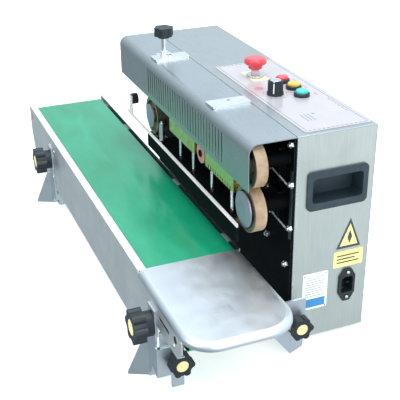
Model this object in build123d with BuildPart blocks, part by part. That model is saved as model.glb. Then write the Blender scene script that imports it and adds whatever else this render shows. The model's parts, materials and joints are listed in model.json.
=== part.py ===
from build123d import *
import os

# Continuous band sealer: a steel cabinet with a sealing head under a hood on its front,
# and a belt conveyor beside it on an adjustable stand. Millimetres.
# +X runs along the machine towards the outfeed end, +Y to the rear, +Z up.
# The origin is the middle of the footprint, on the bench.

# ---------------------------------------------------------------- driving dimensions
CONVEYOR_LENGTH = 830.5
CONVEYOR_OVERHANG = 134.5  # how far the conveyor runs past the cabinet's outfeed end
CABINET_LENGTH = 507.0
CABINET_DEPTH = 111.5
CABINET_TOP = 300.0
CABINET_BASE = 6.0
TOTAL_DEPTH = 333.0  # star knobs at the front to the cabinet's rear face

NEAR = CONVEYOR_LENGTH / 2 - CONVEYOR_OVERHANG  # x of the cabinet's outfeed end face
FAR = NEAR - CABINET_LENGTH  # x of the cabinet's infeed end face
REAR = TOTAL_DEPTH / 2  # y of the cabinet's rear face
FRONT = REAR - CABINET_DEPTH  # y of the cabinet's front plane
SHEET = 1.5  # sheet steel of the covers
PLATE = 3.0  # steel of the base plate
GAP = 0.3  # play between pieces that pass each other
RUNNING = 0.05  # radial play of a shaft in its hole

# hood over the sealing head
HOOD_DEPTH = 64.5
HOOD_DROP = 61.0
HOOD_RADIUS = 13.0
HOOD_SHEET = 1.2
LOUVRES = 30
LOUVRE_PITCH = 9.8
LOUVRE_WIDTH = 3.0
LOUVRE_HEIGHT = 40.0
LOUVRE_MIDDLE = NEAR - 222.0

# sealing head
SEAL_Z = 237.0  # where the two bands meet
WHEEL_RADIUS = 29.2
WHEEL_Y = FRONT - 50.3
WHEEL_WIDTH = 15.4
PIN_HEAD = 1.6  # how far a pin's head or shaft end stands out in front of its wheel
BAND = 0.5
BAND_WIDTH = 15.0
WHEEL_SPACING = 60.0  # height between the upper and lower axes
COLLAR_RADIUS = 9.0  # collars behind the outfeed wheels
IDLE_X = NEAR - 20.0
DRIVE_X = NEAR - 372.0
UPPER_Z = SEAL_Z + WHEEL_SPACING / 2
LOWER_Z = SEAL_Z - WHEEL_SPACING / 2
SHAFT_RADIUS = 6.0
BUSH_RADIUS = 10.0
PRESS_X = NEAR - 169.0
PRESS_RADIUS = 14.0
PRESS_PIN_RADIUS = 3.0
BLOCK_FRONT = FRONT - 58.5
BLOCK_BACK = FRONT - 36.0
HEATING_X = (NEAR - 290.0, NEAR - 189.0)
COOLING_X = (NEAR - 149.0, NEAR - 56.0)
BLOCK_HEIGHT = 24.0
BAND_INNER = WHEEL_RADIUS + GAP
BAND_OUTER = BAND_INNER + BAND

# guide rail in front of the sealing head
RAIL_Y = (FRONT - 68.0, FRONT - 66.0)
RAIL_X = (NEAR - 471.0, NEAR - 24.0)
RAIL_Z = (180.5, 185.5)
DISC_Y = (FRONT - 64.0, FRONT - 60.2)  # bright discs in front of the lower wheels
DISC_SKIN = 1.5
POST_X = (NEAR - 246.0, NEAR - 195.0, NEAR - 128.0, NEAR - 62.0)
POST_RADIUS = 2.5

# conveyor
BELT_TOP = 133.2
DECK_Z = 135.0  # top of the side panel's lip and of the end plate
CONVEYOR_FAR = -CONVEYOR_LENGTH / 2
CONVEYOR_NEAR = CONVEYOR_LENGTH / 2
CONVEYOR_OUT = FRONT - 192.0  # y of the outer side panel
CONVEYOR_IN = FRONT - 52.0  # y of the inner side panel
PANEL_BOTTOM = 41.0
NEAR_PANEL_BOTTOM = 95.0
INNER_BOTTOM = 100.0
LIP = 11.0
BELT = 1.5
BELT_INNER = 14.5
ROLLER_RADIUS = BELT_INNER - GAP
AXLE_RADIUS = 5.0
ROLLER_Z = BELT_TOP - BELT - BELT_INNER
NEAR_ROLLER_X = CONVEYOR_NEAR - 50.0
FAR_ROLLER_X = CONVEYOR_FAR + 18.5
BELT_Y = (CONVEYOR_OUT + LIP + 1.0, CONVEYOR_IN - 7.0)
END_PLATE_LENGTH = 182.5
LIP_DROP = 9.5  # how far the end plate's edges are turned down
LIP_BEND = 8.0

# stand
LEG_SHEET = 2.5
KNOB_X = NEAR + 8.0  # axis of the near height knob
KNOB_Z = 93.0
FAR_SHIFT = -536.0  # from the near leg to the far leg
HEIGHT_DOWN = 8.0
HEIGHT_UP = 15.0
REACH = 15.0
STUD_RADIUS = 3.0
CLAMP_X = NEAR + 18.0  # cross rail's face that the end knobs clamp on
OUTER_CLAMP = (FRONT - 168.0, 42.5)  # y and z of the outer end knob's axis
INNER_CLAMP = (FRONT - 3.0, 49.5)

# controls on the cabinet's top
PANEL_THICK = 0.8
PANEL_X = (NEAR - 288.0, NEAR - 8.0)
PANEL_Y = (FRONT + 14.0, FRONT + 107.0)
ESTOP_AT = (NEAR - 227.0, FRONT + 51.0)
SPEED_AT = (NEAR - 145.0, FRONT + 42.0)
BUTTON_AT = {
    "red_button": (NEAR - 188.0, FRONT + 74.0),
    "yellow_button": (NEAR - 157.0, FRONT + 76.0),
    "green_button": (NEAR - 126.0, FRONT + 72.0),
}
BUTTON_RADIUS = 6.6
PANEL_TOP = CABINET_TOP + PANEL_THICK

# things in the cabinet's end faces
HANDLE_Y = FRONT + 58.5
HANDLE_Z = 224.0
HANDLE_SIZE = (86.0, 54.0)
HANDLE_CUP = (72.0, 34.0)
HANDLE_DEPTH = 26.0
INLET_AT = (FRONT + 82.0, 76.0)
INLET_FLANGE = (24.0, 50.0)
INLET_BODY = (21.0, 28.0)
INLET_CAVITY = (17.0, 24.0)

# pressure knob on the hood
PRESSURE_AT = (NEAR - 373.0, FRONT - 34.0)
HOOD_PLATE_X = (NEAR - 361.0, NEAR - 140.0)
HOOD_PLATE_Y = FRONT - 29.0
HOOD_PLATE_SIZE = (25.0, 56.0, 3.0)
PRESSURE_ROD = 4.0

FAN_X = NEAR - 104.0
FAN_Z = 246.0
FAN_SIZE = 60.0
FAN_HOLE = 24.0
FAN_HUB = 10.0
FAN_PIN = 2.0
FAN_BLADES = 7

os.makedirs("parts", exist_ok=True)


def front_plane(y):
    """Plane facing -Y: its x is the machine's X and its y is the machine's Z."""
    return Plane(origin=(0, y, 0), x_dir=(1, 0, 0), z_dir=(0, -1, 0))


def end_plane(x):
    """Plane facing +X: its x is the machine's Y and its y is the machine's Z."""
    return Plane(origin=(x, 0, 0), x_dir=(0, 1, 0), z_dir=(1, 0, 0))


def block(xs, ys, zs, mode=Mode.ADD):
    """Rectangular block between two values on each axis."""
    middle = [(a + b) / 2 for a, b in (xs, ys, zs)]
    with Locations(tuple(middle)):
        Box(xs[1] - xs[0], ys[1] - ys[0], zs[1] - zs[0], mode=mode)


def disc_y(x, z, radius, ys, mode=Mode.ADD):
    """Round bar along Y."""
    with Locations(Location((x, (ys[0] + ys[1]) / 2, z), (90, 0, 0))):
        Cylinder(radius, ys[1] - ys[0], mode=mode)


def disc_x(y, z, radius, xs, mode=Mode.ADD):
    """Round bar along X."""
    with Locations(Location(((xs[0] + xs[1]) / 2, y, z), (0, 90, 0))):
        Cylinder(radius, xs[1] - xs[0], mode=mode)


def disc_z(x, y, radius, zs, mode=Mode.ADD):
    """Round bar along Z."""
    with Locations((x, y, (zs[0] + zs[1]) / 2)):
        Cylinder(radius, zs[1] - zs[0], mode=mode)


def write(builder, name):
    """Label a finished piece and write its file."""
    builder.part.label = name
    export_step(builder.part, f"parts/{name}.step")


# ---------------------------------------------------------------- cabinet
HANDLE_HOLE = (HANDLE_SIZE[0] - 8.0, HANDLE_SIZE[1] - 8.0)
VENT_PITCH = 9.0
VENTS = 12
VENT_SIZE = (46.0, 4.0)
CORNER = 2.5  # bends of the cabinet's sheets
EDGE = 1.2
CONTROL_HOLE = 8.3
ESTOP_HOLE = 9.2
SPINDLE_HOLE = 4.0

with BuildPart() as cabinet_cover:
    block((FAR, NEAR), (FRONT, REAR), (CABINET_BASE, CABINET_TOP))
    back_edge = cabinet_cover.edges().filter_by(Axis.X).group_by(Axis.Z)[-1].sort_by(Axis.Y)[-1]
    fillet(back_edge, radius=CORNER)
    block(
        (FAR - 1, NEAR + 1),
        (FRONT - 1, REAR - SHEET),
        (CABINET_BASE - 1, CABINET_TOP - SHEET),
        mode=Mode.SUBTRACT,
    )
    end_edges = cabinet_cover.faces().sort_by(Axis.Z)[-1].edges().filter_by(Axis.Y)
    fillet(end_edges, radius=EDGE)
    with BuildSketch(Plane.XY.offset(CABINET_TOP - SHEET - 1)):
        with Locations(*BUTTON_AT.values()):
            Circle(CONTROL_HOLE)
        with Locations(ESTOP_AT):
            Circle(ESTOP_HOLE)
        with Locations(SPEED_AT):
            Circle(SPINDLE_HOLE)
    extrude(amount=SHEET + 2, mode=Mode.SUBTRACT)
    with BuildSketch(front_plane(REAR + 1)):
        with Locations((DRIVE_X, LOWER_Z), (FAN_X, LOWER_Z)):
            with GridLocations(VENT_PITCH, 1, VENTS, 1):
                SlotOverall(*VENT_SIZE, rotation=90)
    extrude(amount=SHEET + 2, mode=Mode.SUBTRACT)
write(cabinet_cover, "cabinet_cover")

with BuildPart() as end_panels:
    for xs in ((NEAR - SHEET, NEAR), (FAR, FAR + SHEET)):
        block(xs, (FRONT, REAR - SHEET), (CABINET_BASE, CABINET_TOP - SHEET))
    with BuildSketch(end_plane(FAR - 1)):
        with Locations((HANDLE_Y, HANDLE_Z)):
            RectangleRounded(*HANDLE_HOLE, radius=5)
    extrude(amount=CABINET_LENGTH + 2, mode=Mode.SUBTRACT)
    with BuildSketch(end_plane(NEAR - SHEET - 1)):
        with Locations(INLET_AT):
            Rectangle(*INLET_BODY)
    extrude(amount=SHEET + 2, mode=Mode.SUBTRACT)
write(end_panels, "end_panels")

with BuildPart() as bottom_plate:
    block((FAR + SHEET, NEAR - SHEET), (FRONT, REAR - SHEET), (CABINET_BASE, CABINET_BASE + 2))
write(bottom_plate, "bottom_plate")

FOOT_INSET = 24.0
with BuildPart() as rubber_feet:
    with BuildSketch(Plane.XY):
        with Locations(((FAR + NEAR) / 2, (FRONT + REAR) / 2)):
            with GridLocations(CABINET_LENGTH - 2 * 60, CABINET_DEPTH - 2 * FOOT_INSET, 2, 2):
                Circle(9)
    extrude(amount=CABINET_BASE, taper=-6)
write(rubber_feet, "rubber_feet")

PLATE_Y = (FRONT - PLATE, FRONT)
LUG_Z = (INNER_CLAMP[1] - 13.0, INNER_CLAMP[1] + 13.0)
with BuildPart() as base_plate:
    block((FAR + SHEET, NEAR - SHEET), PLATE_Y, (CABINET_BASE + 2, CABINET_TOP - HOOD_SHEET))
    for z in (UPPER_Z, LOWER_Z):
        disc_y(DRIVE_X, z, BUSH_RADIUS, (FRONT - PLATE - 1, FRONT + 1), mode=Mode.SUBTRACT)
        disc_y(IDLE_X, z, SHAFT_RADIUS, (FRONT - PLATE - 1, FRONT + 1), mode=Mode.SUBTRACT)
    disc_y(FAN_X, FAN_Z, FAN_HOLE, (FRONT - PLATE - 1, FRONT + 1), mode=Mode.SUBTRACT)
write(base_plate, "base_plate")

# the lug that the inner end knob clamps, the shelf inside the lower band's loop, the apron that
# carries the guide rail on three arms, and the brackets that keep the outfeed wheels' bands tight
BRACKET_X = (NEAR - 50.0, NEAR - 23.0)
BRACKET_Y = (FRONT - PLATE - 9.0, FRONT - PLATE)
SHELF_Z = (LOWER_Z - BAND_INNER + 1.0, LOWER_Z - BAND_INNER + 3.0)
APRON_X = (NEAR - 368.0, NEAR - 24.0)
APRON_Z = (160.0, 180.5)
FLANGE_Z = (180.5, 182.5)
RAIL_SHELF = (DRIVE_X + 32.0, IDLE_X - 32.0)  # wider stretch of the rail's flange, between the wheels
ARM_Z = (171.0, 174.0)  # the apron's arms pass under the lower band
ARM_XS = (NEAR - 330.0, NEAR - 230.0, NEAR - 95.0)
ARM_HALF = 7.0
with BuildPart() as plate_brackets:
    block((NEAR - 12, CLAMP_X), (FRONT - 14, FRONT - PLATE), LUG_Z)
    block((NEAR + 1, CLAMP_X), (FRONT - 14, FRONT + 8), LUG_Z)
    disc_x(*INNER_CLAMP, STUD_RADIUS + RUNNING, (NEAR + 2, CLAMP_X + 1), mode=Mode.SUBTRACT)
    block((DRIVE_X + 36, IDLE_X - 36), (FRONT - 52.5, FRONT - PLATE), SHELF_Z)
    block(APRON_X, RAIL_Y, APRON_Z)
    block(APRON_X, (RAIL_Y[1], FRONT - 61.6), FLANGE_Z)
    block(RAIL_SHELF, (RAIL_Y[1], FRONT - 52.5), FLANGE_Z)
    block(APRON_X, (RAIL_Y[0] + 1, RAIL_Y[1] + 1), (APRON_Z[1] - 3, FLANGE_Z[0]))
    for x in ARM_XS:
        block((x - ARM_HALF, x + ARM_HALF), (RAIL_Y[1], FRONT - PLATE), ARM_Z)
    for z in (UPPER_Z, LOWER_Z):
        block(BRACKET_X, BRACKET_Y, (z - 33, z + 12))
        disc_y(IDLE_X, z, COLLAR_RADIUS + RUNNING, (BRACKET_Y[0] - 1, BRACKET_Y[1] + 1), mode=Mode.SUBTRACT)
        disc_y(BRACKET_X[0] + 10, z - 20, 3.2, (BRACKET_Y[0] - 1, BRACKET_Y[0] + 3), mode=Mode.SUBTRACT)
write(plate_brackets, "plate_brackets")

# bolts on the base plate's front, at its outfeed end and along its length
# each as (distance back from the outfeed end, z)
BOLTS = [(7, 288), (57, 258), (86, 228), (90, 198), (66, 209), (4, 236), (4, 176), (64, 139), (11, 121)]
BOLT_RUNS = [(x, z) for x in (150, 240, 300, 400, 480) for z in (40, 150)]
BOLT_HEAD = (4.6, 3.6)  # radius across the corners, and height
BOLT_END = (2.5, 6.0)  # radius of the bolt's end, and how far it stands off the plate
with BuildPart() as plate_bolts:
    for back, z in BOLTS + BOLT_RUNS:
        with BuildSketch(front_plane(FRONT - PLATE)):
            with Locations((NEAR - back, z)):
                RegularPolygon(BOLT_HEAD[0], 6)
        extrude(amount=BOLT_HEAD[1])
        disc_y(NEAR - back, z, BOLT_END[0], (FRONT - PLATE - BOLT_END[1], FRONT - PLATE - BOLT_HEAD[1]))
write(plate_bolts, "plate_bolts")

# moulded carrying grips, one in each end face
with BuildPart() as carry_handles:
    for face, inward in ((NEAR, -1), (FAR, 1)):
        out = face - inward * 2.5
        deep = face + inward * HANDLE_DEPTH
        flange_xs = (min(face, out), max(face, out))
        cup_xs = (min(face, deep), max(face, deep))
        with BuildSketch(end_plane(flange_xs[0])):
            with Locations((HANDLE_Y, HANDLE_Z)):
                RectangleRounded(*HANDLE_SIZE, radius=7)
        extrude(amount=2.5)
        with BuildSketch(end_plane(cup_xs[0])):
            with Locations((HANDLE_Y, HANDLE_Z)):
                RectangleRounded(HANDLE_HOLE[0] - 0.6, HANDLE_HOLE[1] - 0.6, radius=4.7)
        extrude(amount=HANDLE_DEPTH)
        hollow = (min(out, deep - inward * 2), max(out, deep - inward * 2))
        with BuildSketch(end_plane(hollow[0])):
            with Locations((HANDLE_Y, HANDLE_Z)):
                RectangleRounded(*HANDLE_CUP, radius=5)
        extrude(amount=hollow[1] - hollow[0], mode=Mode.SUBTRACT)
write(carry_handles, "carry_handles")

INLET_DEPTH = 22.0
INLET_TAPER = (5.0, 13.0)  # half width of the flange's ends, and half height of its straight sides
INLET_SCREWS = 19.0
with BuildPart() as power_inlet:
    with BuildSketch(end_plane(NEAR)):
        with Locations(INLET_AT):
            Polygon(
                (-INLET_TAPER[0], -INLET_FLANGE[1] / 2),
                (INLET_TAPER[0], -INLET_FLANGE[1] / 2),
                (INLET_FLANGE[0] / 2, -INLET_TAPER[1]),
                (INLET_FLANGE[0] / 2, INLET_TAPER[1]),
                (INLET_TAPER[0], INLET_FLANGE[1] / 2),
                (-INLET_TAPER[0], INLET_FLANGE[1] / 2),
                (-INLET_FLANGE[0] / 2, INLET_TAPER[1]),
                (-INLET_FLANGE[0] / 2, -INLET_TAPER[1]),
                align=None,
            )
    extrude(amount=2.5)
    fillet(power_inlet.edges().filter_by(Axis.X), radius=2.5)
    with BuildSketch(end_plane(NEAR - INLET_DEPTH)):
        with Locations(INLET_AT):
            Rectangle(INLET_BODY[0] - 0.4, INLET_BODY[1] - 0.4)
    extrude(amount=INLET_DEPTH)
    with BuildSketch(end_plane(NEAR - 14)):
        with Locations(INLET_AT):
            RectangleRounded(*INLET_CAVITY, radius=3)
    extrude(amount=20, mode=Mode.SUBTRACT)
    for dy, dz in ((-4, -7), (-4, 7), (4, 0)):
        with BuildSketch(end_plane(NEAR - 14)):
            with Locations((INLET_AT[0] + dy, INLET_AT[1] + dz)):
                Rectangle(4, 2)
        extrude(amount=11)
    for dz in (-INLET_SCREWS, INLET_SCREWS):
        disc_x(INLET_AT[0], INLET_AT[1] + dz, 2.6, (NEAR + 2.5, NEAR + 3.6))
write(power_inlet, "power_inlet")

with BuildPart() as panel_plate:
    with BuildSketch(Plane.XY.offset(CABINET_TOP)):
        with Locations((sum(PANEL_X) / 2, sum(PANEL_Y) / 2)):
            RectangleRounded(PANEL_X[1] - PANEL_X[0], PANEL_Y[1] - PANEL_Y[0], radius=4)
        with Locations(*BUTTON_AT.values()):
            Circle(CONTROL_HOLE, mode=Mode.SUBTRACT)
        with Locations(ESTOP_AT):
            Circle(ESTOP_HOLE, mode=Mode.SUBTRACT)
        with Locations(SPEED_AT):
            Circle(3 + RUNNING, mode=Mode.SUBTRACT)
    extrude(amount=PANEL_THICK)
write(panel_plate, "panel_plate")

# ---------------------------------------------------------------- controls
ESTOP_STEM = 6.0
ESTOP_RING = 12.5
with BuildPart() as estop_base:
    disc_z(*ESTOP_AT, ESTOP_RING, (PANEL_TOP, PANEL_TOP + 3))
    disc_z(*ESTOP_AT, ESTOP_HOLE - 0.2, (CABINET_TOP - 42, PANEL_TOP))
    block(
        (ESTOP_AT[0] - 15, ESTOP_AT[0] + 15),
        (ESTOP_AT[1] - 15, ESTOP_AT[1] + 15),
        (CABINET_TOP - 44, CABINET_TOP - 8),
    )
    disc_z(*ESTOP_AT, ESTOP_STEM + RUNNING, (CABINET_TOP - 20, PANEL_TOP + 5), mode=Mode.SUBTRACT)
    fillet(estop_base.edges().filter_by(GeomType.CIRCLE).filter_by(lambda e: e.radius > 12), radius=1)
write(estop_base, "estop_base")

MUSHROOM_Z = (PANEL_TOP + 18.0, PANEL_TOP + 27.0)
MUSHROOM_RADIUS = 16.0
with BuildPart() as estop_button:
    disc_z(*ESTOP_AT, ESTOP_STEM, (CABINET_TOP - 14, MUSHROOM_Z[0]))
    disc_z(*ESTOP_AT, 10, (MUSHROOM_Z[0] - 6, MUSHROOM_Z[0]))
    disc_z(*ESTOP_AT, MUSHROOM_RADIUS, MUSHROOM_Z)
    round_edges = estop_button.edges().filter_by(GeomType.CIRCLE)
    rims = round_edges.filter_by(lambda e: e.radius > 15).sort_by(Axis.Z)
    fillet(rims[-1], radius=5)
    fillet(rims[0], radius=2.5)
write(estop_button, "estop_button")

KNOB_RIBS = 20
with BuildPart() as speed_knob:
    disc_z(*SPEED_AT, 3, (CABINET_TOP - 12, PANEL_TOP + 4))
    disc_z(*SPEED_AT, 11.5, (PANEL_TOP + 1, PANEL_TOP + 3.5))
    with BuildSketch(Plane.XY.offset(PANEL_TOP + 3.5)):
        with Locations(SPEED_AT):
            Circle(10.6)
            with PolarLocations(10.9, KNOB_RIBS):
                Circle(0.9, mode=Mode.SUBTRACT)
    extrude(amount=15.5, taper=1.5)
    disc_z(*SPEED_AT, 8.5, (PANEL_TOP + 18.5, PANEL_TOP + 19.8))
write(speed_knob, "speed_knob")

# push buttons: each cap sits in its bezel and goes down flush with it
CAP_RADIUS = 8.7
BEZEL_RADIUS = 10.8
BEZEL_TOP = PANEL_TOP + 5.0
with BuildPart() as button_bezels:
    for spot in BUTTON_AT.values():
        disc_z(*spot, 8, (CABINET_TOP - 18, PANEL_TOP))
        disc_z(*spot, BEZEL_RADIUS, (PANEL_TOP, BEZEL_TOP))
    for spot in BUTTON_AT.values():
        disc_z(*spot, BUTTON_RADIUS + GAP, (CABINET_TOP - 15, BEZEL_TOP), mode=Mode.SUBTRACT)
        disc_z(*spot, CAP_RADIUS + GAP, (PANEL_TOP + 0.5, BEZEL_TOP + 1), mode=Mode.SUBTRACT)
    rims = button_bezels.edges().filter_by(GeomType.CIRCLE).group_by(Axis.Z)[-1]
    chamfer(rims.filter_by(lambda e: e.radius > 10), length=1.2)
write(button_bezels, "button_bezels")

for button_name, spot in BUTTON_AT.items():
    with BuildPart() as button:
        disc_z(*spot, BUTTON_RADIUS, (CABINET_TOP - 7, PANEL_TOP + 5))
        disc_z(*spot, CAP_RADIUS, (PANEL_TOP + 4, PANEL_TOP + 8.5))
        fillet(button.edges().filter_by(GeomType.CIRCLE).sort_by(Axis.Z)[-1], radius=2.5)
    write(button, button_name)

# ---------------------------------------------------------------- hood
HOOD_FRONT = FRONT - HOOD_DEPTH
HOOD_BOTTOM = CABINET_TOP - HOOD_DROP
HOOD_BACK = FRONT - 0.8
with BuildPart() as hood:
    with BuildSketch(end_plane(FAR)):
        with BuildLine():
            Polyline((HOOD_BACK, CABINET_TOP), (HOOD_FRONT + HOOD_RADIUS, CABINET_TOP))
            RadiusArc(
                (HOOD_FRONT + HOOD_RADIUS, CABINET_TOP),
                (HOOD_FRONT, CABINET_TOP - HOOD_RADIUS),
                -HOOD_RADIUS,
            )
            Polyline(
                (HOOD_FRONT, CABINET_TOP - HOOD_RADIUS),
                (HOOD_FRONT, HOOD_BOTTOM),
                (HOOD_FRONT + HOOD_SHEET, HOOD_BOTTOM),
                (HOOD_FRONT + HOOD_SHEET, CABINET_TOP - HOOD_RADIUS),
            )
            RadiusArc(
                (HOOD_FRONT + HOOD_SHEET, CABINET_TOP - HOOD_RADIUS),
                (HOOD_FRONT + HOOD_RADIUS, CABINET_TOP - HOOD_SHEET),
                HOOD_RADIUS - HOOD_SHEET,
            )
            Polyline(
                (HOOD_FRONT + HOOD_RADIUS, CABINET_TOP - HOOD_SHEET),
                (HOOD_BACK, CABINET_TOP - HOOD_SHEET),
                (HOOD_BACK, CABINET_TOP),
            )
        make_face()
    extrude(amount=CABINET_LENGTH)
    with BuildSketch(front_plane(HOOD_FRONT + HOOD_SHEET + 1)):
        with Locations((LOUVRE_MIDDLE, CABINET_TOP - HOOD_RADIUS - LOUVRE_HEIGHT / 2)):
            with GridLocations(LOUVRE_PITCH, 1, LOUVRES, 1):
                SlotOverall(LOUVRE_HEIGHT, LOUVRE_WIDTH, rotation=90)
    extrude(amount=HOOD_SHEET + 2, mode=Mode.SUBTRACT)
    disc_z(*PRESSURE_AT, 5, (CABINET_TOP - 3, CABINET_TOP + 1), mode=Mode.SUBTRACT)
write(hood, "hood")

HOOD_PLATE_Z = (CABINET_TOP, CABINET_TOP + HOOD_PLATE_SIZE[2])
with BuildPart() as hood_plates:
    for x in HOOD_PLATE_X:
        with BuildSketch(Plane.XY.offset(HOOD_PLATE_Z[0])):
            with Locations((x, HOOD_PLATE_Y)):
                RectangleRounded(HOOD_PLATE_SIZE[0], HOOD_PLATE_SIZE[1], radius=2)
        extrude(amount=HOOD_PLATE_SIZE[2])
    block(
        (PRESSURE_AT[0] - 9, HOOD_PLATE_X[0]),
        (PRESSURE_AT[1] - 12, PRESSURE_AT[1] + 12),
        HOOD_PLATE_Z,
    )
    disc_z(*PRESSURE_AT, PRESSURE_ROD + RUNNING, (CABINET_TOP - 1, CABINET_TOP + 5), mode=Mode.SUBTRACT)
    for x in HOOD_PLATE_X:
        disc_z(x, HOOD_PLATE_Y, 3, (HOOD_PLATE_Z[1], HOOD_PLATE_Z[1] + 1.6))
write(hood_plates, "hood_plates")

PRESSURE_KNOB_Z = (329.0, 345.0)
PRESSURE_LOBES = 6
PRESSURE_RADIUS = 15.0
with BuildPart() as pressure_screw:
    disc_z(*PRESSURE_AT, PRESSURE_ROD, (CABINET_TOP - 12, PRESSURE_KNOB_Z[0] + 8))
    disc_z(*PRESSURE_AT, PRESSURE_ROD + 2, (HOOD_PLATE_Z[1] + GAP, HOOD_PLATE_Z[1] + 5))
write(pressure_screw, "pressure_screw")

with BuildPart() as pressure_knob:
    with BuildSketch(Plane.XY.offset(PRESSURE_KNOB_Z[0] + 3)):
        with Locations(PRESSURE_AT):
            Circle(PRESSURE_RADIUS - 2)
            with PolarLocations(PRESSURE_RADIUS - 4.5, PRESSURE_LOBES, start_angle=30):
                Circle(4.5)
    extrude(amount=PRESSURE_KNOB_Z[1] - PRESSURE_KNOB_Z[0] - 3)
    disc_z(*PRESSURE_AT, 9, (PRESSURE_KNOB_Z[0], PRESSURE_KNOB_Z[0] + 3))
    disc_z(*PRESSURE_AT, PRESSURE_ROD, (PRESSURE_KNOB_Z[0] - 1, PRESSURE_KNOB_Z[0] + 8), mode=Mode.SUBTRACT)
write(pressure_knob, "pressure_knob")

# ---------------------------------------------------------------- sealing head
WHEEL_YS = (WHEEL_Y - WHEEL_WIDTH / 2, WHEEL_Y + WHEEL_WIDTH / 2)


def band_wheel(x, z, bore):
    """Flat-rimmed wheel with a dished web; used inside a BuildPart block."""
    disc_y(x, z, WHEEL_RADIUS, WHEEL_YS)
    for ys in ((WHEEL_YS[0] - 1, WHEEL_YS[0] + 5), (WHEEL_YS[1] - 5, WHEEL_YS[1] + 1)):
        with BuildSketch(front_plane(ys[1])) as dish:
            with Locations((x, z)):
                Circle(24.5)
                Circle(11, mode=Mode.SUBTRACT)
        extrude(dish.sketch, amount=ys[1] - ys[0], mode=Mode.SUBTRACT)
    disc_y(x, z, bore, (WHEEL_YS[0] - 1, WHEEL_YS[1] + 1), mode=Mode.SUBTRACT)


WHEELS = {
    "upper_drive_wheel": (DRIVE_X, UPPER_Z, SHAFT_RADIUS),
    "lower_drive_wheel": (DRIVE_X, LOWER_Z, SHAFT_RADIUS),
    "upper_idle_wheel": (IDLE_X, UPPER_Z, SHAFT_RADIUS + RUNNING),
    "lower_idle_wheel": (IDLE_X, LOWER_Z, SHAFT_RADIUS + RUNNING),
}
for wheel_name, (x, z, bore) in WHEELS.items():
    with BuildPart() as wheel:
        band_wheel(x, z, bore)
    write(wheel, wheel_name)

# two gears behind the base plate make the wheels turn opposite ways
TEETH = 30
MODULE = WHEEL_SPACING / TEETH
GEAR_Y = (FRONT + 6.0, FRONT + 16.0)
ROOT_RADIUS = WHEEL_SPACING / 2 - 1.35 * MODULE
TIP_RADIUS = WHEEL_SPACING / 2 + 0.5 * MODULE


def gear(x, z, first_angle):
    """Spur gear with straight-sided teeth; used inside a BuildPart block."""
    disc_y(x, z, ROOT_RADIUS + 0.1, GEAR_Y)
    with BuildSketch(front_plane(GEAR_Y[1])) as teeth:
        with Locations((x, z)):
            with PolarLocations(0, TEETH, start_angle=first_angle):
                Polygon(
                    (ROOT_RADIUS - 1, -2.1),
                    (TIP_RADIUS, -0.75),
                    (TIP_RADIUS, 0.75),
                    (ROOT_RADIUS - 1, 2.1),
                    align=None,
                )
    extrude(teeth.sketch, amount=GEAR_Y[1] - GEAR_Y[0])


SHAFTS = {
    "upper_gear_shaft": (UPPER_Z, 90 + 180 / TEETH, (WHEEL_YS[0] - 1, GEAR_Y[1] + 4)),
    "lower_gear_shaft": (LOWER_Z, 90, (DISC_Y[0] + DISC_SKIN, GEAR_Y[1] + 30)),
}
for shaft_name, (z, first_angle, ys) in SHAFTS.items():
    with BuildPart() as shaft:
        gear(DRIVE_X, z, first_angle)
        disc_y(DRIVE_X, z, SHAFT_RADIUS, ys)
    write(shaft, shaft_name)

BUSH_FLANGE = 15.0
with BuildPart() as shaft_bushes:
    for z in (UPPER_Z, LOWER_Z):
        disc_y(DRIVE_X, z, BUSH_RADIUS, (FRONT - PLATE, FRONT + 2))
        disc_y(DRIVE_X, z, BUSH_FLANGE, (FRONT - PLATE - 5, FRONT - PLATE))
    for z in (UPPER_Z, LOWER_Z):
        disc_y(DRIVE_X, z, SHAFT_RADIUS + RUNNING, (FRONT - 20, FRONT + 20), mode=Mode.SUBTRACT)
write(shaft_bushes, "shaft_bushes")

PRESS_YS = (WHEEL_Y - 7, WHEEL_Y + 7)
PRESS_Z = {
    "upper_press_roller": SEAL_Z + WHEEL_SPACING / 2 - BAND_INNER + GAP + PRESS_RADIUS,
    "lower_press_roller": SEAL_Z - WHEEL_SPACING / 2 + BAND_INNER - GAP - PRESS_RADIUS,
}
with BuildPart() as wheel_pins:
    for z in (UPPER_Z, LOWER_Z):
        disc_y(IDLE_X, z, SHAFT_RADIUS, (WHEEL_YS[0] - GAP, FRONT))
        disc_y(IDLE_X, z, SHAFT_RADIUS + 0.8, (WHEEL_YS[0] - PIN_HEAD, WHEEL_YS[0] - GAP))
        disc_y(IDLE_X, z, COLLAR_RADIUS, (WHEEL_YS[1] + GAP, FRONT - PLATE))
    for z in PRESS_Z.values():
        disc_y(PRESS_X, z, PRESS_PIN_RADIUS, (PRESS_YS[0] - GAP, FRONT - PLATE))
        disc_y(PRESS_X, z, PRESS_PIN_RADIUS + 2, (PRESS_YS[0] - PIN_HEAD, PRESS_YS[0] - GAP))
        disc_y(PRESS_X, z, PRESS_PIN_RADIUS + 3, (PRESS_YS[1] + GAP, FRONT - PLATE))
write(wheel_pins, "wheel_pins")

for roller_name, z in PRESS_Z.items():
    with BuildPart() as press_roller:
        with BuildSketch(front_plane(PRESS_YS[1])):
            with Locations((PRESS_X, z)):
                Circle(PRESS_RADIUS)
                with PolarLocations(PRESS_RADIUS + 0.2, 36):
                    Circle(0.6, mode=Mode.SUBTRACT)
                Circle(PRESS_PIN_RADIUS + RUNNING, mode=Mode.SUBTRACT)
        extrude(amount=PRESS_YS[1] - PRESS_YS[0])
    write(press_roller, roller_name)

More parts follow.
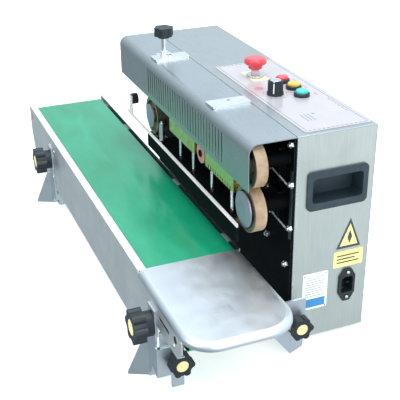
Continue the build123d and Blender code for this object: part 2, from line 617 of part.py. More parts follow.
BAND_MIDDLE_X = (IDLE_X + DRIVE_X) / 2
BAND_RUN = IDLE_X - DRIVE_X
with BuildPart() as seal_bands:
    with BuildSketch(front_plane(WHEEL_Y + BAND_WIDTH / 2)):
        with Locations((BAND_MIDDLE_X, UPPER_Z), (BAND_MIDDLE_X, LOWER_Z)):
            SlotCenterToCenter(BAND_RUN, 2 * BAND_OUTER)
            SlotCenterToCenter(BAND_RUN, 2 * BAND_INNER, mode=Mode.SUBTRACT)
    extrude(amount=BAND_WIDTH)
write(seal_bands, "seal_bands")

# heating blocks and cooling blocks, one above and one below the bands; arms hold them off the base plate
UPPER_BLOCK_Z = (UPPER_Z - BAND_INNER + 0.1, UPPER_Z - BAND_INNER + 0.1 + BLOCK_HEIGHT)
LOWER_BLOCK_Z = (LOWER_Z + BAND_INNER - 0.1 - BLOCK_HEIGHT, LOWER_Z + BAND_INNER - 0.1)
BLOCK_ZS = (UPPER_BLOCK_Z, LOWER_BLOCK_Z)
HEATER_RADIUS = 4.0
BLOCK_MIDDLE = (BLOCK_FRONT + BLOCK_BACK) / 2
with BuildPart() as heating_blocks:
    for zs in BLOCK_ZS:
        block(HEATING_X, (BLOCK_FRONT, BLOCK_BACK), zs)
        disc_x(
            BLOCK_MIDDLE, sum(zs) / 2, HEATER_RADIUS, (HEATING_X[0] - 1, HEATING_X[1] + 1),
            mode=Mode.SUBTRACT,
        )
write(heating_blocks, "heating_blocks")

FIN_PITCH = 8.0
FIN_GAP = (3.0, 12.0)
FINS = 10
with BuildPart() as cooling_blocks:
    for zs in BLOCK_ZS:
        block(COOLING_X, (BLOCK_FRONT, BLOCK_BACK), zs)
    with BuildSketch(front_plane(BLOCK_BACK + 1)):
        with Locations((sum(COOLING_X) / 2, UPPER_BLOCK_Z[1]), (sum(COOLING_X) / 2, LOWER_BLOCK_Z[0])):
            with GridLocations(FIN_PITCH, 1, FINS, 1):
                Rectangle(*FIN_GAP)
    extrude(amount=BLOCK_BACK - BLOCK_FRONT + 2, mode=Mode.SUBTRACT)
write(cooling_blocks, "cooling_blocks")

with BuildPart() as block_arms:
    with BuildSketch(front_plane(FRONT - PLATE)):
        for xs in (HEATING_X, COOLING_X):
            with Locations(*[(sum(xs) / 2, sum(zs) / 2) for zs in BLOCK_ZS]):
                with GridLocations((xs[1] - xs[0]) * 0.6, 1, 2, 1):
                    Circle(4)
    extrude(amount=FRONT - PLATE - BLOCK_BACK)
write(block_arms, "block_arms")

# bright discs in front of the lower wheels that guide the bag
OUTFEED_DISC = 23.0
INFEED_DISC = 18.5
DISC_HUB = 10.0
with BuildPart() as outfeed_disc:
    disc_y(IDLE_X, LOWER_Z, OUTFEED_DISC, DISC_Y)
    disc_y(IDLE_X, LOWER_Z, DISC_HUB, (DISC_Y[1], WHEEL_YS[0]))
    disc_y(IDLE_X, LOWER_Z, SHAFT_RADIUS + 1.2, (DISC_Y[0] + DISC_SKIN, WHEEL_YS[0]), mode=Mode.SUBTRACT)
    rim = outfeed_disc.edges().filter_by(GeomType.CIRCLE).group_by(Axis.Y)[0]
    chamfer(rim, length=2.5, length2=11)
write(outfeed_disc, "outfeed_disc")

with BuildPart() as infeed_disc:
    disc_y(DRIVE_X, LOWER_Z, INFEED_DISC, DISC_Y)
    disc_y(DRIVE_X, LOWER_Z, DISC_HUB, (DISC_Y[1], WHEEL_YS[0]))
    disc_y(DRIVE_X, LOWER_Z, SHAFT_RADIUS, (DISC_Y[0] + DISC_SKIN, WHEEL_YS[0]), mode=Mode.SUBTRACT)
    rim = infeed_disc.edges().filter_by(GeomType.CIRCLE).group_by(Axis.Y)[0]
    chamfer(rim, length=2.5, length2=9)
write(infeed_disc, "infeed_disc")

# ---------------------------------------------------------------- guide rail and its rollers
ROLLER_POST = (NEAR - 316.0, FRONT - 61.5)
INFEED_RADIUS = 4.5
POST_PIN = 2.0
END_ROLLER = (NEAR - 453.0, 209.0)
END_PIN = 3.0
END_RADIUS = 9.0
with BuildPart() as guide_rail:
    block(RAIL_X, RAIL_Y, RAIL_Z)
    block((END_ROLLER[0] - 6, END_ROLLER[0] + 6), RAIL_Y, (RAIL_Z[0], END_ROLLER[1] + 6))
    disc_y(*END_ROLLER, END_PIN, (RAIL_Y[1], RAIL_Y[1] + 10.5))
write(guide_rail, "guide_rail")

with BuildPart() as rail_supports:
    for x in POST_X:
        disc_z(x, BLOCK_FRONT + 1.2, POST_RADIUS, (RAIL_Z[0] + 2, LOWER_BLOCK_Z[0]))
    disc_z(*ROLLER_POST, POST_PIN, (RAIL_Z[0] + 2, RAIL_Z[1] + 32))
write(rail_supports, "rail_supports")

with BuildPart() as infeed_roller:
    disc_z(*ROLLER_POST, INFEED_RADIUS, (RAIL_Z[0] + 6, RAIL_Z[1] + 29))
    disc_z(*ROLLER_POST, POST_PIN + RUNNING, (RAIL_Z[0], RAIL_Z[1] + 40), mode=Mode.SUBTRACT)
write(infeed_roller, "infeed_roller")

with BuildPart() as rail_roller:
    disc_y(*END_ROLLER, END_RADIUS, (RAIL_Y[1] + GAP, RAIL_Y[1] + 10))
    disc_y(*END_ROLLER, END_PIN + RUNNING, (RAIL_Y[1] - 1, RAIL_Y[1] + 12), mode=Mode.SUBTRACT)
write(rail_roller, "rail_roller")

# ---------------------------------------------------------------- drive, fan and board inside
GEARBOX_Y = (GEAR_Y[1] + 4.0 + GAP, GEAR_Y[1] + 44.0)
BOX_HALF = 36.0
with BuildPart() as gearbox:
    block((DRIVE_X - BOX_HALF, DRIVE_X + BOX_HALF), GEARBOX_Y, (LOWER_Z - BOX_HALF, LOWER_Z + 26))
    with BuildSketch(front_plane(GEARBOX_Y[0])):
        with Locations((DRIVE_X, LOWER_Z - BOX_HALF + 5)):
            with GridLocations(2 * BOX_HALF - 10, 1, 2, 1):
                Circle(4)
    extrude(amount=GEARBOX_Y[0] - FRONT)
    disc_y(DRIVE_X, LOWER_Z, SHAFT_RADIUS + RUNNING, (GEARBOX_Y[0] - 1, GEAR_Y[1] + 31), mode=Mode.SUBTRACT)
write(gearbox, "gearbox")

MOTOR_Y = (GEARBOX_Y[0] + GEARBOX_Y[1]) / 2
MOTOR_Z = LOWER_Z - 8.0
MOTOR_START = DRIVE_X + BOX_HALF
MOTOR_RADIUS = 19.0
MOTOR_LENGTH = 96.0
with BuildPart() as drive_motor:
    disc_x(MOTOR_Y, MOTOR_Z, MOTOR_RADIUS, (MOTOR_START, MOTOR_START + MOTOR_LENGTH))
    disc_x(MOTOR_Y, MOTOR_Z, 12, (MOTOR_START + MOTOR_LENGTH, MOTOR_START + MOTOR_LENGTH + 6))
write(drive_motor, "drive_motor")

with BuildPart() as fan_frame:
    with BuildSketch(front_plane(FRONT + 15)):
        with Locations((FAN_X, FAN_Z)):
            RectangleRounded(FAN_SIZE, FAN_SIZE, radius=4)
            Circle(FAN_SIZE / 2 - 3, mode=Mode.SUBTRACT)
    extrude(amount=15)
    with BuildSketch(front_plane(FRONT + 15)):
        with Locations((FAN_X, FAN_Z)):
            Circle(FAN_HUB)
            Rectangle(FAN_SIZE - 4, 3)
            Rectangle(3, FAN_SIZE - 4)
    extrude(amount=3)
    disc_y(FAN_X, FAN_Z, FAN_PIN, (FRONT + 5, FRONT + 12))
write(fan_frame, "fan_frame")

with BuildPart() as fan_rotor:
    disc_y(FAN_X, FAN_Z, FAN_HUB, (FRONT + 3, FRONT + 11.5))
    with BuildSketch(front_plane(FRONT + 11.5)):
        with Locations((FAN_X, FAN_Z)):
            with PolarLocations(0, FAN_BLADES):
                Polygon((8, -2), (25, -7), (26, 3), (8, 4), align=None)
    extrude(amount=7)
    disc_y(FAN_X, FAN_Z, FAN_PIN + RUNNING, (FRONT + 4.5, FRONT + 12), mode=Mode.SUBTRACT)
write(fan_rotor, "fan_rotor")

BOARD_X = (NEAR - 96.0, NEAR - 26.0)
with BuildPart() as control_board:
    block(BOARD_X, (FRONT + 30, FRONT + 100), (CABINET_BASE + 12, CABINET_BASE + 14))
    with BuildSketch(Plane.XY.offset(CABINET_BASE + 2)):
        with Locations((sum(BOARD_X) / 2, FRONT + 65)):
            with GridLocations(60, 60, 2, 2):
                Circle(3)
    extrude(amount=10)
    block((NEAR - 90, NEAR - 56), (FRONT + 38, FRONT + 68), (CABINET_BASE + 14, CABINET_BASE + 40))
    block((NEAR - 50, NEAR - 36), (FRONT + 38, FRONT + 92), (CABINET_BASE + 14, CABINET_BASE + 26))
write(control_board, "control_board")

# ---------------------------------------------------------------- conveyor
PANEL_YS = (CONVEYOR_OUT, CONVEYOR_OUT + SHEET)
STEP_X = NEAR - 2.0
STEP_CHAMFER = 14.0
PANEL_STEP_X = KNOB_X + 13.0
INNER_CORNER = 45.0  # plan radii of the end plate's outfeed corners
OUTER_CORNER = 38.0
PANEL_END_X = CONVEYOR_NEAR - 30.0
SLOT_AT = (NEAR + 45.0, 112.0)  # belt tension slot
SLOT_SIZE = (38.0, 6.0)
FLANGE = 9.0
FAR_CHAMFER = (20.0, 46.0)
PLATE_START = CONVEYOR_NEAR - END_PLATE_LENGTH
with BuildPart() as conveyor_skirt:
    with BuildSketch(front_plane(PANEL_YS[1])):
        Polygon(
            (CONVEYOR_FAR, DECK_Z),
            (CONVEYOR_FAR, PANEL_BOTTOM + FAR_CHAMFER[1]),
            (CONVEYOR_FAR + FAR_CHAMFER[0], PANEL_BOTTOM),
            (STEP_X - STEP_CHAMFER, PANEL_BOTTOM),
            (STEP_X, PANEL_BOTTOM + STEP_CHAMFER),
            (STEP_X, KNOB_Z - STEP_CHAMFER),
            (PANEL_STEP_X, KNOB_Z - STEP_CHAMFER),
            (PANEL_STEP_X, NEAR_PANEL_BOTTOM),
            (PANEL_END_X - STEP_CHAMFER, NEAR_PANEL_BOTTOM),
            (PANEL_END_X, NEAR_PANEL_BOTTOM + STEP_CHAMFER),
            (PANEL_END_X, DECK_Z - LIP_DROP),
            (PLATE_START, DECK_Z - LIP_DROP),
            (PLATE_START, DECK_Z),
            align=None,
        )
        with Locations(SLOT_AT):
            SlotOverall(*SLOT_SIZE, mode=Mode.SUBTRACT)
        for x in (NEAR_ROLLER_X, FAR_ROLLER_X):
            with Locations((x, ROLLER_Z)):
                Circle(AXLE_RADIUS + RUNNING, mode=Mode.SUBTRACT)
        for x in (KNOB_X, KNOB_X + FAR_SHIFT):
            with Locations((x, KNOB_Z)):
                Circle(STUD_RADIUS + RUNNING, mode=Mode.SUBTRACT)
    extrude(amount=SHEET)
    block((CONVEYOR_FAR, PLATE_START), (CONVEYOR_OUT, CONVEYOR_OUT + LIP), (DECK_Z - SHEET, DECK_Z))
    block(
        (CONVEYOR_FAR + FAR_CHAMFER[0], STEP_X - STEP_CHAMFER),
        (CONVEYOR_OUT, CONVEYOR_OUT + FLANGE),
        (PANEL_BOTTOM, PANEL_BOTTOM + SHEET),
    )
    block(
        (PANEL_STEP_X + 2, PANEL_END_X - STEP_CHAMFER),
        (CONVEYOR_OUT, CONVEYOR_OUT + FLANGE),
        (NEAR_PANEL_BOTTOM, NEAR_PANEL_BOTTOM + SHEET),
    )
write(conveyor_skirt, "conveyor_skirt")

INNER_YS = (CONVEYOR_IN - SHEET, CONVEYOR_IN)
with BuildPart() as conveyor_rail:
    with BuildSketch(front_plane(INNER_YS[1])):
        Polygon(
            (CONVEYOR_FAR, DECK_Z),
            (CONVEYOR_FAR, INNER_BOTTOM),
            (NEAR_ROLLER_X + 12, INNER_BOTTOM),
            (NEAR_ROLLER_X + 12, DECK_Z - LIP_DROP),
            (PLATE_START, DECK_Z - LIP_DROP),
            (PLATE_START, DECK_Z),
            align=None,
        )
        for x in (NEAR_ROLLER_X, FAR_ROLLER_X):
            with Locations((x, ROLLER_Z)):
                Circle(AXLE_RADIUS + RUNNING, mode=Mode.SUBTRACT)
    extrude(amount=SHEET)
write(conveyor_rail, "conveyor_rail")

BED_Z = (BELT_TOP - BELT - 2.2, BELT_TOP - BELT - 0.2)
BED_INSET = 8.0
RIB_XS = (-250.0, 0.0, 190.0)
with BuildPart() as belt_bed:
    block(
        (FAR_ROLLER_X + 18, NEAR_ROLLER_X - 18),
        (PANEL_YS[1] + BED_INSET, INNER_YS[0] - BED_INSET),
        BED_Z,
    )
    for x in RIB_XS:
        block((x - 12, x + 12), (PANEL_YS[1], INNER_YS[0]), (BED_Z[0] - 12, BED_Z[0]))
write(belt_bed, "belt_bed")

BELT_MIDDLE_X = (NEAR_ROLLER_X + FAR_ROLLER_X) / 2
with BuildPart() as conveyor_belt:
    with BuildSketch(front_plane(BELT_Y[1])):
        with Locations((BELT_MIDDLE_X, ROLLER_Z)):
            SlotCenterToCenter(NEAR_ROLLER_X - FAR_ROLLER_X, 2 * (BELT_INNER + BELT))
            SlotCenterToCenter(NEAR_ROLLER_X - FAR_ROLLER_X, 2 * BELT_INNER, mode=Mode.SUBTRACT)
    extrude(amount=BELT_Y[1] - BELT_Y[0])
write(conveyor_belt, "conveyor_belt")

ROLLER_YS = (BELT_Y[0] + 2, BELT_Y[1] - 2)
ROLLERS = {
    "conveyor_drive_roller": (NEAR_ROLLER_X, CONVEYOR_IN + 5),
    "conveyor_tail_roller": (FAR_ROLLER_X, CONVEYOR_IN + 1),
}
for roller_name, (x, axle_end) in ROLLERS.items():
    with BuildPart() as roller:
        disc_y(x, ROLLER_Z, ROLLER_RADIUS, ROLLER_YS)
        disc_y(x, ROLLER_Z, AXLE_RADIUS, (CONVEYOR_OUT, axle_end))
    write(roller, roller_name)

# steel plate that covers the last stretch of the belt; its outfeed corners are round


def end_plate_outline(inset):
    """Plan outline of the end plate, moved in by inset; used inside a BuildSketch block."""
    near = CONVEYOR_NEAR - inset
    inner = CONVEYOR_IN - inset
    outer = CONVEYOR_OUT + inset
    start = PLATE_START - inset
    inner_r = INNER_CORNER - inset
    outer_r = OUTER_CORNER - inset
    with BuildLine() as outline:
        Polyline((near, outer + outer_r), (near, inner - inner_r))
        RadiusArc((near, inner - inner_r), (near - inner_r, inner), -inner_r)
        Polyline((near - inner_r, inner), (start, inner), (start, outer), (near - outer_r, outer))
        RadiusArc((near - outer_r, outer), (near, outer + outer_r), -outer_r)
    make_face(outline.line)


with BuildPart() as plate_hollow:
    with BuildSketch(Plane.XY.offset(DECK_Z - LIP_DROP - 1)):
        end_plate_outline(SHEET)
    extrude(amount=LIP_DROP + 1 - SHEET)
    hollow_top = plate_hollow.faces().sort_by(Axis.Z)[-1].edges().sort_by(Axis.X)
    fillet(hollow_top[1:], radius=LIP_BEND - SHEET)

with BuildPart() as end_plate:
    with BuildSketch(Plane.XY.offset(DECK_Z - LIP_DROP)):
        end_plate_outline(0)
    extrude(amount=LIP_DROP)
    plate_top = end_plate.faces().sort_by(Axis.Z)[-1].edges().sort_by(Axis.X)
    fillet(plate_top[1:], radius=LIP_BEND)
    add(plate_hollow.part, mode=Mode.SUBTRACT)
write(end_plate, "end_plate")

# ---------------------------------------------------------------- stand
LEG_OUT = CONVEYOR_OUT - GAP  # the upright's face on the side panel
UPRIGHT_YS = (LEG_OUT - LEG_SHEET, LEG_OUT)
FOLD_X = NEAR - 12.0
TAB_X = (CLAMP_X + 3 + GAP, CLAMP_X + 3 + GAP + LEG_SHEET)
TAB_Y_SPAN = (UPRIGHT_YS[0], FRONT - 160.0)
SLOT_Z = (KNOB_Z - HEIGHT_DOWN, KNOB_Z + HEIGHT_UP)
LEG_KNEE = 62.0  # top of the leg's folded side, below the part with the slot
LEG_SHOULDER = 72.0
LEG_HALF = 12.0  # half the width of the part with the slot
FOOT_RISE = 26.0  # top of the arch between the leg's feet
FLARE = 30.0
FLARE_TURN = 26.0
FLARE_TOP = 58.0

for leg_name, shift, tab_top in (("leg_near", 0.0, LEG_KNEE), ("leg_far", FAR_SHIFT, LEG_KNEE / 2)):
    fold = FOLD_X + shift
    with BuildPart() as leg:
        with BuildSketch(front_plane(UPRIGHT_YS[1])):
            Polygon(
                (fold, 0),
                (fold + LEG_HALF, FOOT_RISE),
                (TAB_X[0] + shift - 4, FOOT_RISE - 4),
                (TAB_X[0] + shift - 4, LEG_KNEE),
                (KNOB_X + shift + LEG_HALF, LEG_SHOULDER),
                (KNOB_X + shift + LEG_HALF, SLOT_Z[1] + 8),
                (KNOB_X + shift - LEG_HALF, SLOT_Z[1] + 8),
                (KNOB_X + shift - LEG_HALF, LEG_SHOULDER),
                (fold, LEG_KNEE - 2),
                align=None,
            )
            with Locations((KNOB_X + shift, sum(SLOT_Z) / 2)):
                SlotOverall(
                    SLOT_Z[1] - SLOT_Z[0] + 2 * STUD_RADIUS + 1.2,
                    2 * STUD_RADIUS + 1.2,
                    rotation=90,
                    mode=Mode.SUBTRACT,
                )
        extrude(amount=LEG_SHEET)
        block((TAB_X[0] + shift - 5, TAB_X[1] + shift), UPRIGHT_YS, (20, LEG_KNEE))
        block((TAB_X[0] + shift, TAB_X[1] + shift), TAB_Y_SPAN, (20, tab_top))
        block((TAB_X[0] + shift, TAB_X[1] + shift), (TAB_Y_SPAN[1] - 16, TAB_Y_SPAN[1]), (0, 21))
        block((fold, fold + LEG_SHEET), (UPRIGHT_YS[1] - LEG_SHEET, FRONT - 164), (0, FOOT_RISE))
        flare_plane = Plane(
            origin=(fold, UPRIGHT_YS[1] - LEG_SHEET, 0),
            x_dir=Vector(0, -1, 0).rotate(Axis.Z, -FLARE_TURN),
            z_dir=Vector(-1, 0, 0).rotate(Axis.Z, -FLARE_TURN),
        )
        with BuildSketch(flare_plane):
            Polygon((-1, 0), (FLARE - 3, 0), (FLARE - 3, 4), (5, FLARE_TOP), (-1, FLARE_TOP), align=None)
        extrude(amount=LEG_SHEET)
        disc_x(
            *OUTER_CLAMP, STUD_RADIUS + RUNNING, (TAB_X[0] + shift - 1, TAB_X[1] + shift + 1),
            mode=Mode.SUBTRACT,
        )
    write(leg, leg_name)

# cross rails that tie the legs to the cabinet: the near one runs high under the conveyor and has
# an ear and a gusset for the end knobs, the far one runs low and is screwed to the cabinet's underside
CROSS_Y = (FRONT - 189.0, FRONT + 14.0)
NEAR_CROSS_Z = (62.0, 84.0)
FAR_CROSS_Z = (8.0, 27.0)
TONGUE_Z = (CABINET_BASE - 3, CABINET_BASE)
WEB = 3.0
GUSSET = [(-45, 62), (-37, 38), (-10, 2), (8, 10), (10, 62)]  # y from the cabinet's front, z
with BuildPart() as cross_rails:
    near_web = (CLAMP_X, CLAMP_X + WEB)
    block(near_web, (CROSS_Y[0], FRONT + 10), NEAR_CROSS_Z)
    block((CLAMP_X - 12, CLAMP_X), (CROSS_Y[0] + 12, FRONT - 60), (NEAR_CROSS_Z[0], NEAR_CROSS_Z[0] + WEB))
    with BuildSketch(end_plane(CLAMP_X)):
        Polygon(*[(FRONT + y, z) for y, z in GUSSET], align=None)
    extrude(amount=WEB)
    block(
        near_web,
        (OUTER_CLAMP[0] - REACH - 9, OUTER_CLAMP[0] + 10),
        (OUTER_CLAMP[1] - 12, NEAR_CROSS_Z[0]),
    )
    with BuildSketch(end_plane(CLAMP_X - 1)):
        with Locations((OUTER_CLAMP[0] - REACH / 2, OUTER_CLAMP[1])):
            SlotOverall(REACH + 2 * STUD_RADIUS + 1.2, 2 * STUD_RADIUS + 1.2)
    extrude(amount=WEB + 2, mode=Mode.SUBTRACT)
    disc_x(*INNER_CLAMP, STUD_RADIUS + RUNNING, (CLAMP_X - 1, CLAMP_X + WEB + 1), mode=Mode.SUBTRACT)
    far_web = (CLAMP_X + FAR_SHIFT, CLAMP_X + FAR_SHIFT + WEB)
    block(far_web, CROSS_Y, FAR_CROSS_Z)
    block((far_web[0] - 16, far_web[1]), CROSS_Y, (FAR_CROSS_Z[0], FAR_CROSS_Z[0] + WEB))
    block(far_web, (FRONT, CROSS_Y[1]), (TONGUE_Z[0], FAR_CROSS_Z[0]))
    block((far_web[0], FAR + 45), (FRONT, CROSS_Y[1]), TONGUE_Z)
write(cross_rails, "cross_rails")


def star_knob(plane, radius, head, neck, stud):
    """Six-lobed clamping knob on its stud; the plane's z points out of the knob's face."""
    with BuildSketch(plane) as collar:
        Circle(radius * 0.72)
    extrude(collar.sketch, amount=neck)
    with BuildSketch(plane.offset(neck)) as lobes:
        Circle(radius * 0.8)
        with PolarLocations(radius * 0.72, 6):
            Circle(radius * 0.28)
    extrude(lobes.sketch, amount=head)
    with BuildSketch(plane.offset(neck + head)) as pocket:
        Circle(radius * 0.5)
    extrude(pocket.sketch, amount=-1.5, mode=Mode.SUBTRACT)
    with BuildSketch(plane.offset(-stud)) as rod:
        Circle(STUD_RADIUS)
    extrude(rod.sketch, amount=stud + 2)


SIDE_FACE = UPRIGHT_YS[0] - GAP
SIDE_DEPTH = SIDE_FACE + TOTAL_DEPTH / 2
# radius, head height, neck height and stud length
SIDE_KNOB = (22.0, SIDE_DEPTH - 10, 10.0, 9.0)
END_KNOB = (16.5, 12.0, 6.0, 14.0)
KNOBS = {
    "star_knob_side_near": (
        Plane(origin=(KNOB_X, SIDE_FACE, KNOB_Z), x_dir=(1, 0, 0), z_dir=(0, -1, 0)),
        SIDE_KNOB,
    ),
    "star_knob_side_far": (
        Plane(origin=(KNOB_X + FAR_SHIFT, SIDE_FACE, KNOB_Z), x_dir=(1, 0, 0), z_dir=(0, -1, 0)),
        SIDE_KNOB,
    ),
    "star_knob_end_outer": (
        Plane(origin=(TAB_X[1] + GAP, *OUTER_CLAMP), x_dir=(0, 1, 0), z_dir=(1, 0, 0)),
        END_KNOB,
    ),
    "star_knob_end_inner": (
        Plane(origin=(CLAMP_X + WEB + GAP, *INNER_CLAMP), x_dir=(0, 1, 0), z_dir=(1, 0, 0)),
        END_KNOB,
    ),
}
for knob_name, (plane, sizes) in KNOBS.items():
    with BuildPart() as knob:
        star_knob(plane, *sizes)
    write(knob, knob_name)
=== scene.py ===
import json
import math

import bmesh
import bpy
from mathutils import Matrix, Vector


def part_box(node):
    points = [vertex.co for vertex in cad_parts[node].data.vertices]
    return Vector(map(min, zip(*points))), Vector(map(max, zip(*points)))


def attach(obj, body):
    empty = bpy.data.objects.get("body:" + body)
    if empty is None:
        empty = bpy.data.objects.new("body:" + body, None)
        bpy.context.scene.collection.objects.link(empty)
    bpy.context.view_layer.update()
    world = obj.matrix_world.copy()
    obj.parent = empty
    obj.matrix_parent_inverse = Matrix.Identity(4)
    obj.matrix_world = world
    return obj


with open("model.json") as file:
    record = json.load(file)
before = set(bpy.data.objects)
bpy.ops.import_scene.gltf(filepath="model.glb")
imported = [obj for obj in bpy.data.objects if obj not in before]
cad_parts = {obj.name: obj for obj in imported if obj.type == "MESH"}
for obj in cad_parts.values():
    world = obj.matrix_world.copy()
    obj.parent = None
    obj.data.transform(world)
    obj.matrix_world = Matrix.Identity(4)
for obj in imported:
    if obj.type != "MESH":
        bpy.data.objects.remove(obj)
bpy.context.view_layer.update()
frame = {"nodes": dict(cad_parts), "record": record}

MM = 0.001
X, Y, Z = Vector((1, 0, 0)), Vector((0, 1, 0)), Vector((0, 0, 1))

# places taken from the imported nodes
SHELL_LOW, SHELL_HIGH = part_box("cabinet_cover")
NEAR = SHELL_HIGH.x
FRONT = SHELL_LOW.y
TOP = SHELL_HIGH.z
PANEL_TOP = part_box("panel_plate")[1].z


def mid(node):
    low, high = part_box(node)
    return (low + high) / 2


# the stop button is red down to this depth, which takes in its cap and neck, and pale below it
RED_DEPTH = 17.5 * MM
STEM_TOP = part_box("estop_button")[1].z - RED_DEPTH


# ---------------------------------------------------------------- materials
def link(tree, source, target):
    tree.links.new(source, target)


def shade(tone, factor, lift=0.0):
    """A darker or lighter colour, never above full brightness."""
    return tuple(min(1.0, c * factor + lift) for c in tone)


class Finish:
    """Builds one procedural material; its patterns are laid out in the piece's own coordinates."""

    def __init__(self, name, metallic=0.0, rough=0.5, **shader):
        self.material = bpy.data.materials.new(name)
        self.material.use_nodes = True
        self.tree = self.material.node_tree
        self.shader = self.tree.nodes["Principled BSDF"]
        self.shader.inputs["Metallic"].default_value = metallic
        self.shader.inputs["Roughness"].default_value = rough
        for key, value in shader.items():
            self.shader.inputs[key.replace("_", " ")].default_value = value
        self.place = self.tree.nodes.new("ShaderNodeTexCoord").outputs["Object"]
        self.height = None

    def node(self, kind, **inputs):
        made = self.tree.nodes.new("ShaderNode" + kind)
        for key, value in inputs.items():
            socket = made.inputs[key.replace("_", " ")]
            if hasattr(value, "is_output"):
                link(self.tree, value, socket)
            else:
                socket.default_value = value
        return made

    def noise(self, scale, stretch=(1, 1, 1), detail=4.0, roughness=0.6, distortion=0.0):
        """Noise with cells of about 1/scale metres, drawn out along an axis by a small stretch value."""
        mapping = self.node("Mapping", Vector=self.place, Scale=stretch)
        made = self.node(
            "TexNoise", Vector=mapping.outputs[0], Scale=scale, Detail=detail,
            Roughness=roughness, Distortion=distortion,
        )
        return made.outputs["Fac"]

    def span(self, value, low, high, to_low=0.0, to_high=1.0, smooth=False):
        made = self.tree.nodes.new("ShaderNodeMapRange")
        made.interpolation_type = "SMOOTHSTEP" if smooth else "LINEAR"
        link(self.tree, value, made.inputs["Value"])
        for key, number in (("From Min", low), ("From Max", high), ("To Min", to_low), ("To Max", to_high)):
            made.inputs[key].default_value = number
        return made.outputs[0]

    def maths(self, operation, a, b=0.0):
        made = self.tree.nodes.new("ShaderNodeMath")
        made.operation = operation
        for socket, value in zip(made.inputs, (a, b)):
            if hasattr(value, "is_output"):
                link(self.tree, value, socket)
            else:
                socket.default_value = value
        return made.outputs[0]

    def mix(self, factor, a, b):
        made = self.tree.nodes.new("ShaderNodeMix")
        made.data_type = "RGBA"
        for key, value in ((0, factor), (6, a), (7, b)):
            if hasattr(value, "is_output"):
                link(self.tree, value, made.inputs[key])
            elif key == 0:
                made.inputs[key].default_value = value
            else:
                made.inputs[key].default_value = (*value, 1.0)
        return made.outputs[2]

    def ramp(self, factor, *stops):
        made = self.tree.nodes.new("ShaderNodeValToRGB")
        link(self.tree, factor, made.inputs[0])
        elements = made.color_ramp.elements
        while len(elements) < len(stops):
            elements.new(0.5)
        for element, (at, colour) in zip(elements, stops):
            element.position = at
            element.color = (*colour, 1.0)
        return made.outputs[0]

    def edges(self, radius, low=0.55, high=0.98):
        """1 on outer edges, 0 on flat faces."""
        bevel = self.node("Bevel", Radius=radius)
        flat = self.tree.nodes.new("ShaderNodeNewGeometry").outputs["Normal"]
        dot = self.tree.nodes.new("ShaderNodeVectorMath")
        dot.operation = "DOT_PRODUCT"
        link(self.tree, bevel.outputs[0], dot.inputs[0])
        link(self.tree, flat, dot.inputs[1])
        return self.span(dot.outputs["Value"], high, low)

    def facing(self, axis):
        """1 where the surface faces along the axis, either way."""
        normal = self.tree.nodes.new("ShaderNodeNewGeometry").outputs["Normal"]
        split = self.node("SeparateXYZ", Vector=normal)
        return self.span(self.maths("ABSOLUTE", split.outputs[axis]), 0.6, 0.8)

    def colour(self, socket):
        link(self.tree, socket, self.shader.inputs["Base Color"])

    def roughness(self, socket):
        link(self.tree, socket, self.shader.inputs["Roughness"])

    def bump(self, socket, strength, distance):
        made = self.node("Bump", Strength=strength, Distance=distance, Height=socket)
        if self.height is not None:
            link(self.tree, self.height, made.inputs["Normal"])
        self.height = made.outputs[0]
        link(self.tree, self.height, self.shader.inputs["Normal"])


def steel(name, tone, rough=(0.24, 0.4), grain=0.08, smudge=0.06, bump=0.12):
    """Brushed sheet: long streaks along X, and up and down on the end faces."""
    f = Finish(name, metallic=1.0)
    along = f.noise(2200, (0.012, 1, 1), detail=3)
    upright = f.noise(2200, (1, 1, 0.012), detail=3)
    # the mix gives a colour, and the sum makes one value of it
    streaks = f.maths("ADD", f.mix(f.facing(0), along, upright), 0.0)
    clouds = f.noise(9, detail=5, roughness=0.55, distortion=0.6)
    patches = f.noise(38, detail=3)
    base = f.ramp(streaks, (0.3, shade(tone, 1 - grain)), (0.7, shade(tone, 1 + grain)))
    worn = shade(tone, 1 - smudge * 2.2)
    base = f.mix(f.span(clouds, 0.45, 0.75, 0.0, smudge * 6, True), base, worn)
    f.colour(f.mix(f.edges(0.0009), base, shade(tone, 1.25)))
    level = f.span(streaks, 0.3, 0.7, *rough)
    f.roughness(f.maths("ADD", level, f.span(patches, 0.3, 0.7, -0.04, 0.06)))
    f.bump(streaks, bump, 0.00006)
    f.bump(clouds, 0.05, 0.002)
    return f.material


def plastic(name, tone, rough=(0.32, 0.5), bump=0.25, wear=0.35, coat=0.0):
    """Moulded plastic: fine spark-eroded grain, handled patches and paler edges."""
    f = Finish(name, Coat_Weight=coat, Coat_Roughness=0.08)
    fine = f.noise(1500, detail=2)
    clouds = f.noise(55, detail=4, distortion=0.4)
    base = f.ramp(clouds, (0.32, shade(tone, 0.88)), (0.68, shade(tone, 1.12, 0.004)))
    edge = f.maths("MULTIPLY", f.edges(0.0007), wear)
    f.colour(f.mix(edge, base, shade(tone, 1.35, 0.05)))
    level = f.span(clouds, 0.3, 0.7, *rough)
    f.roughness(f.maths("ADD", level, f.span(fine, 0.3, 0.7, -0.03, 0.03)))
    f.bump(fine, bump, 0.00008)
    return f.material


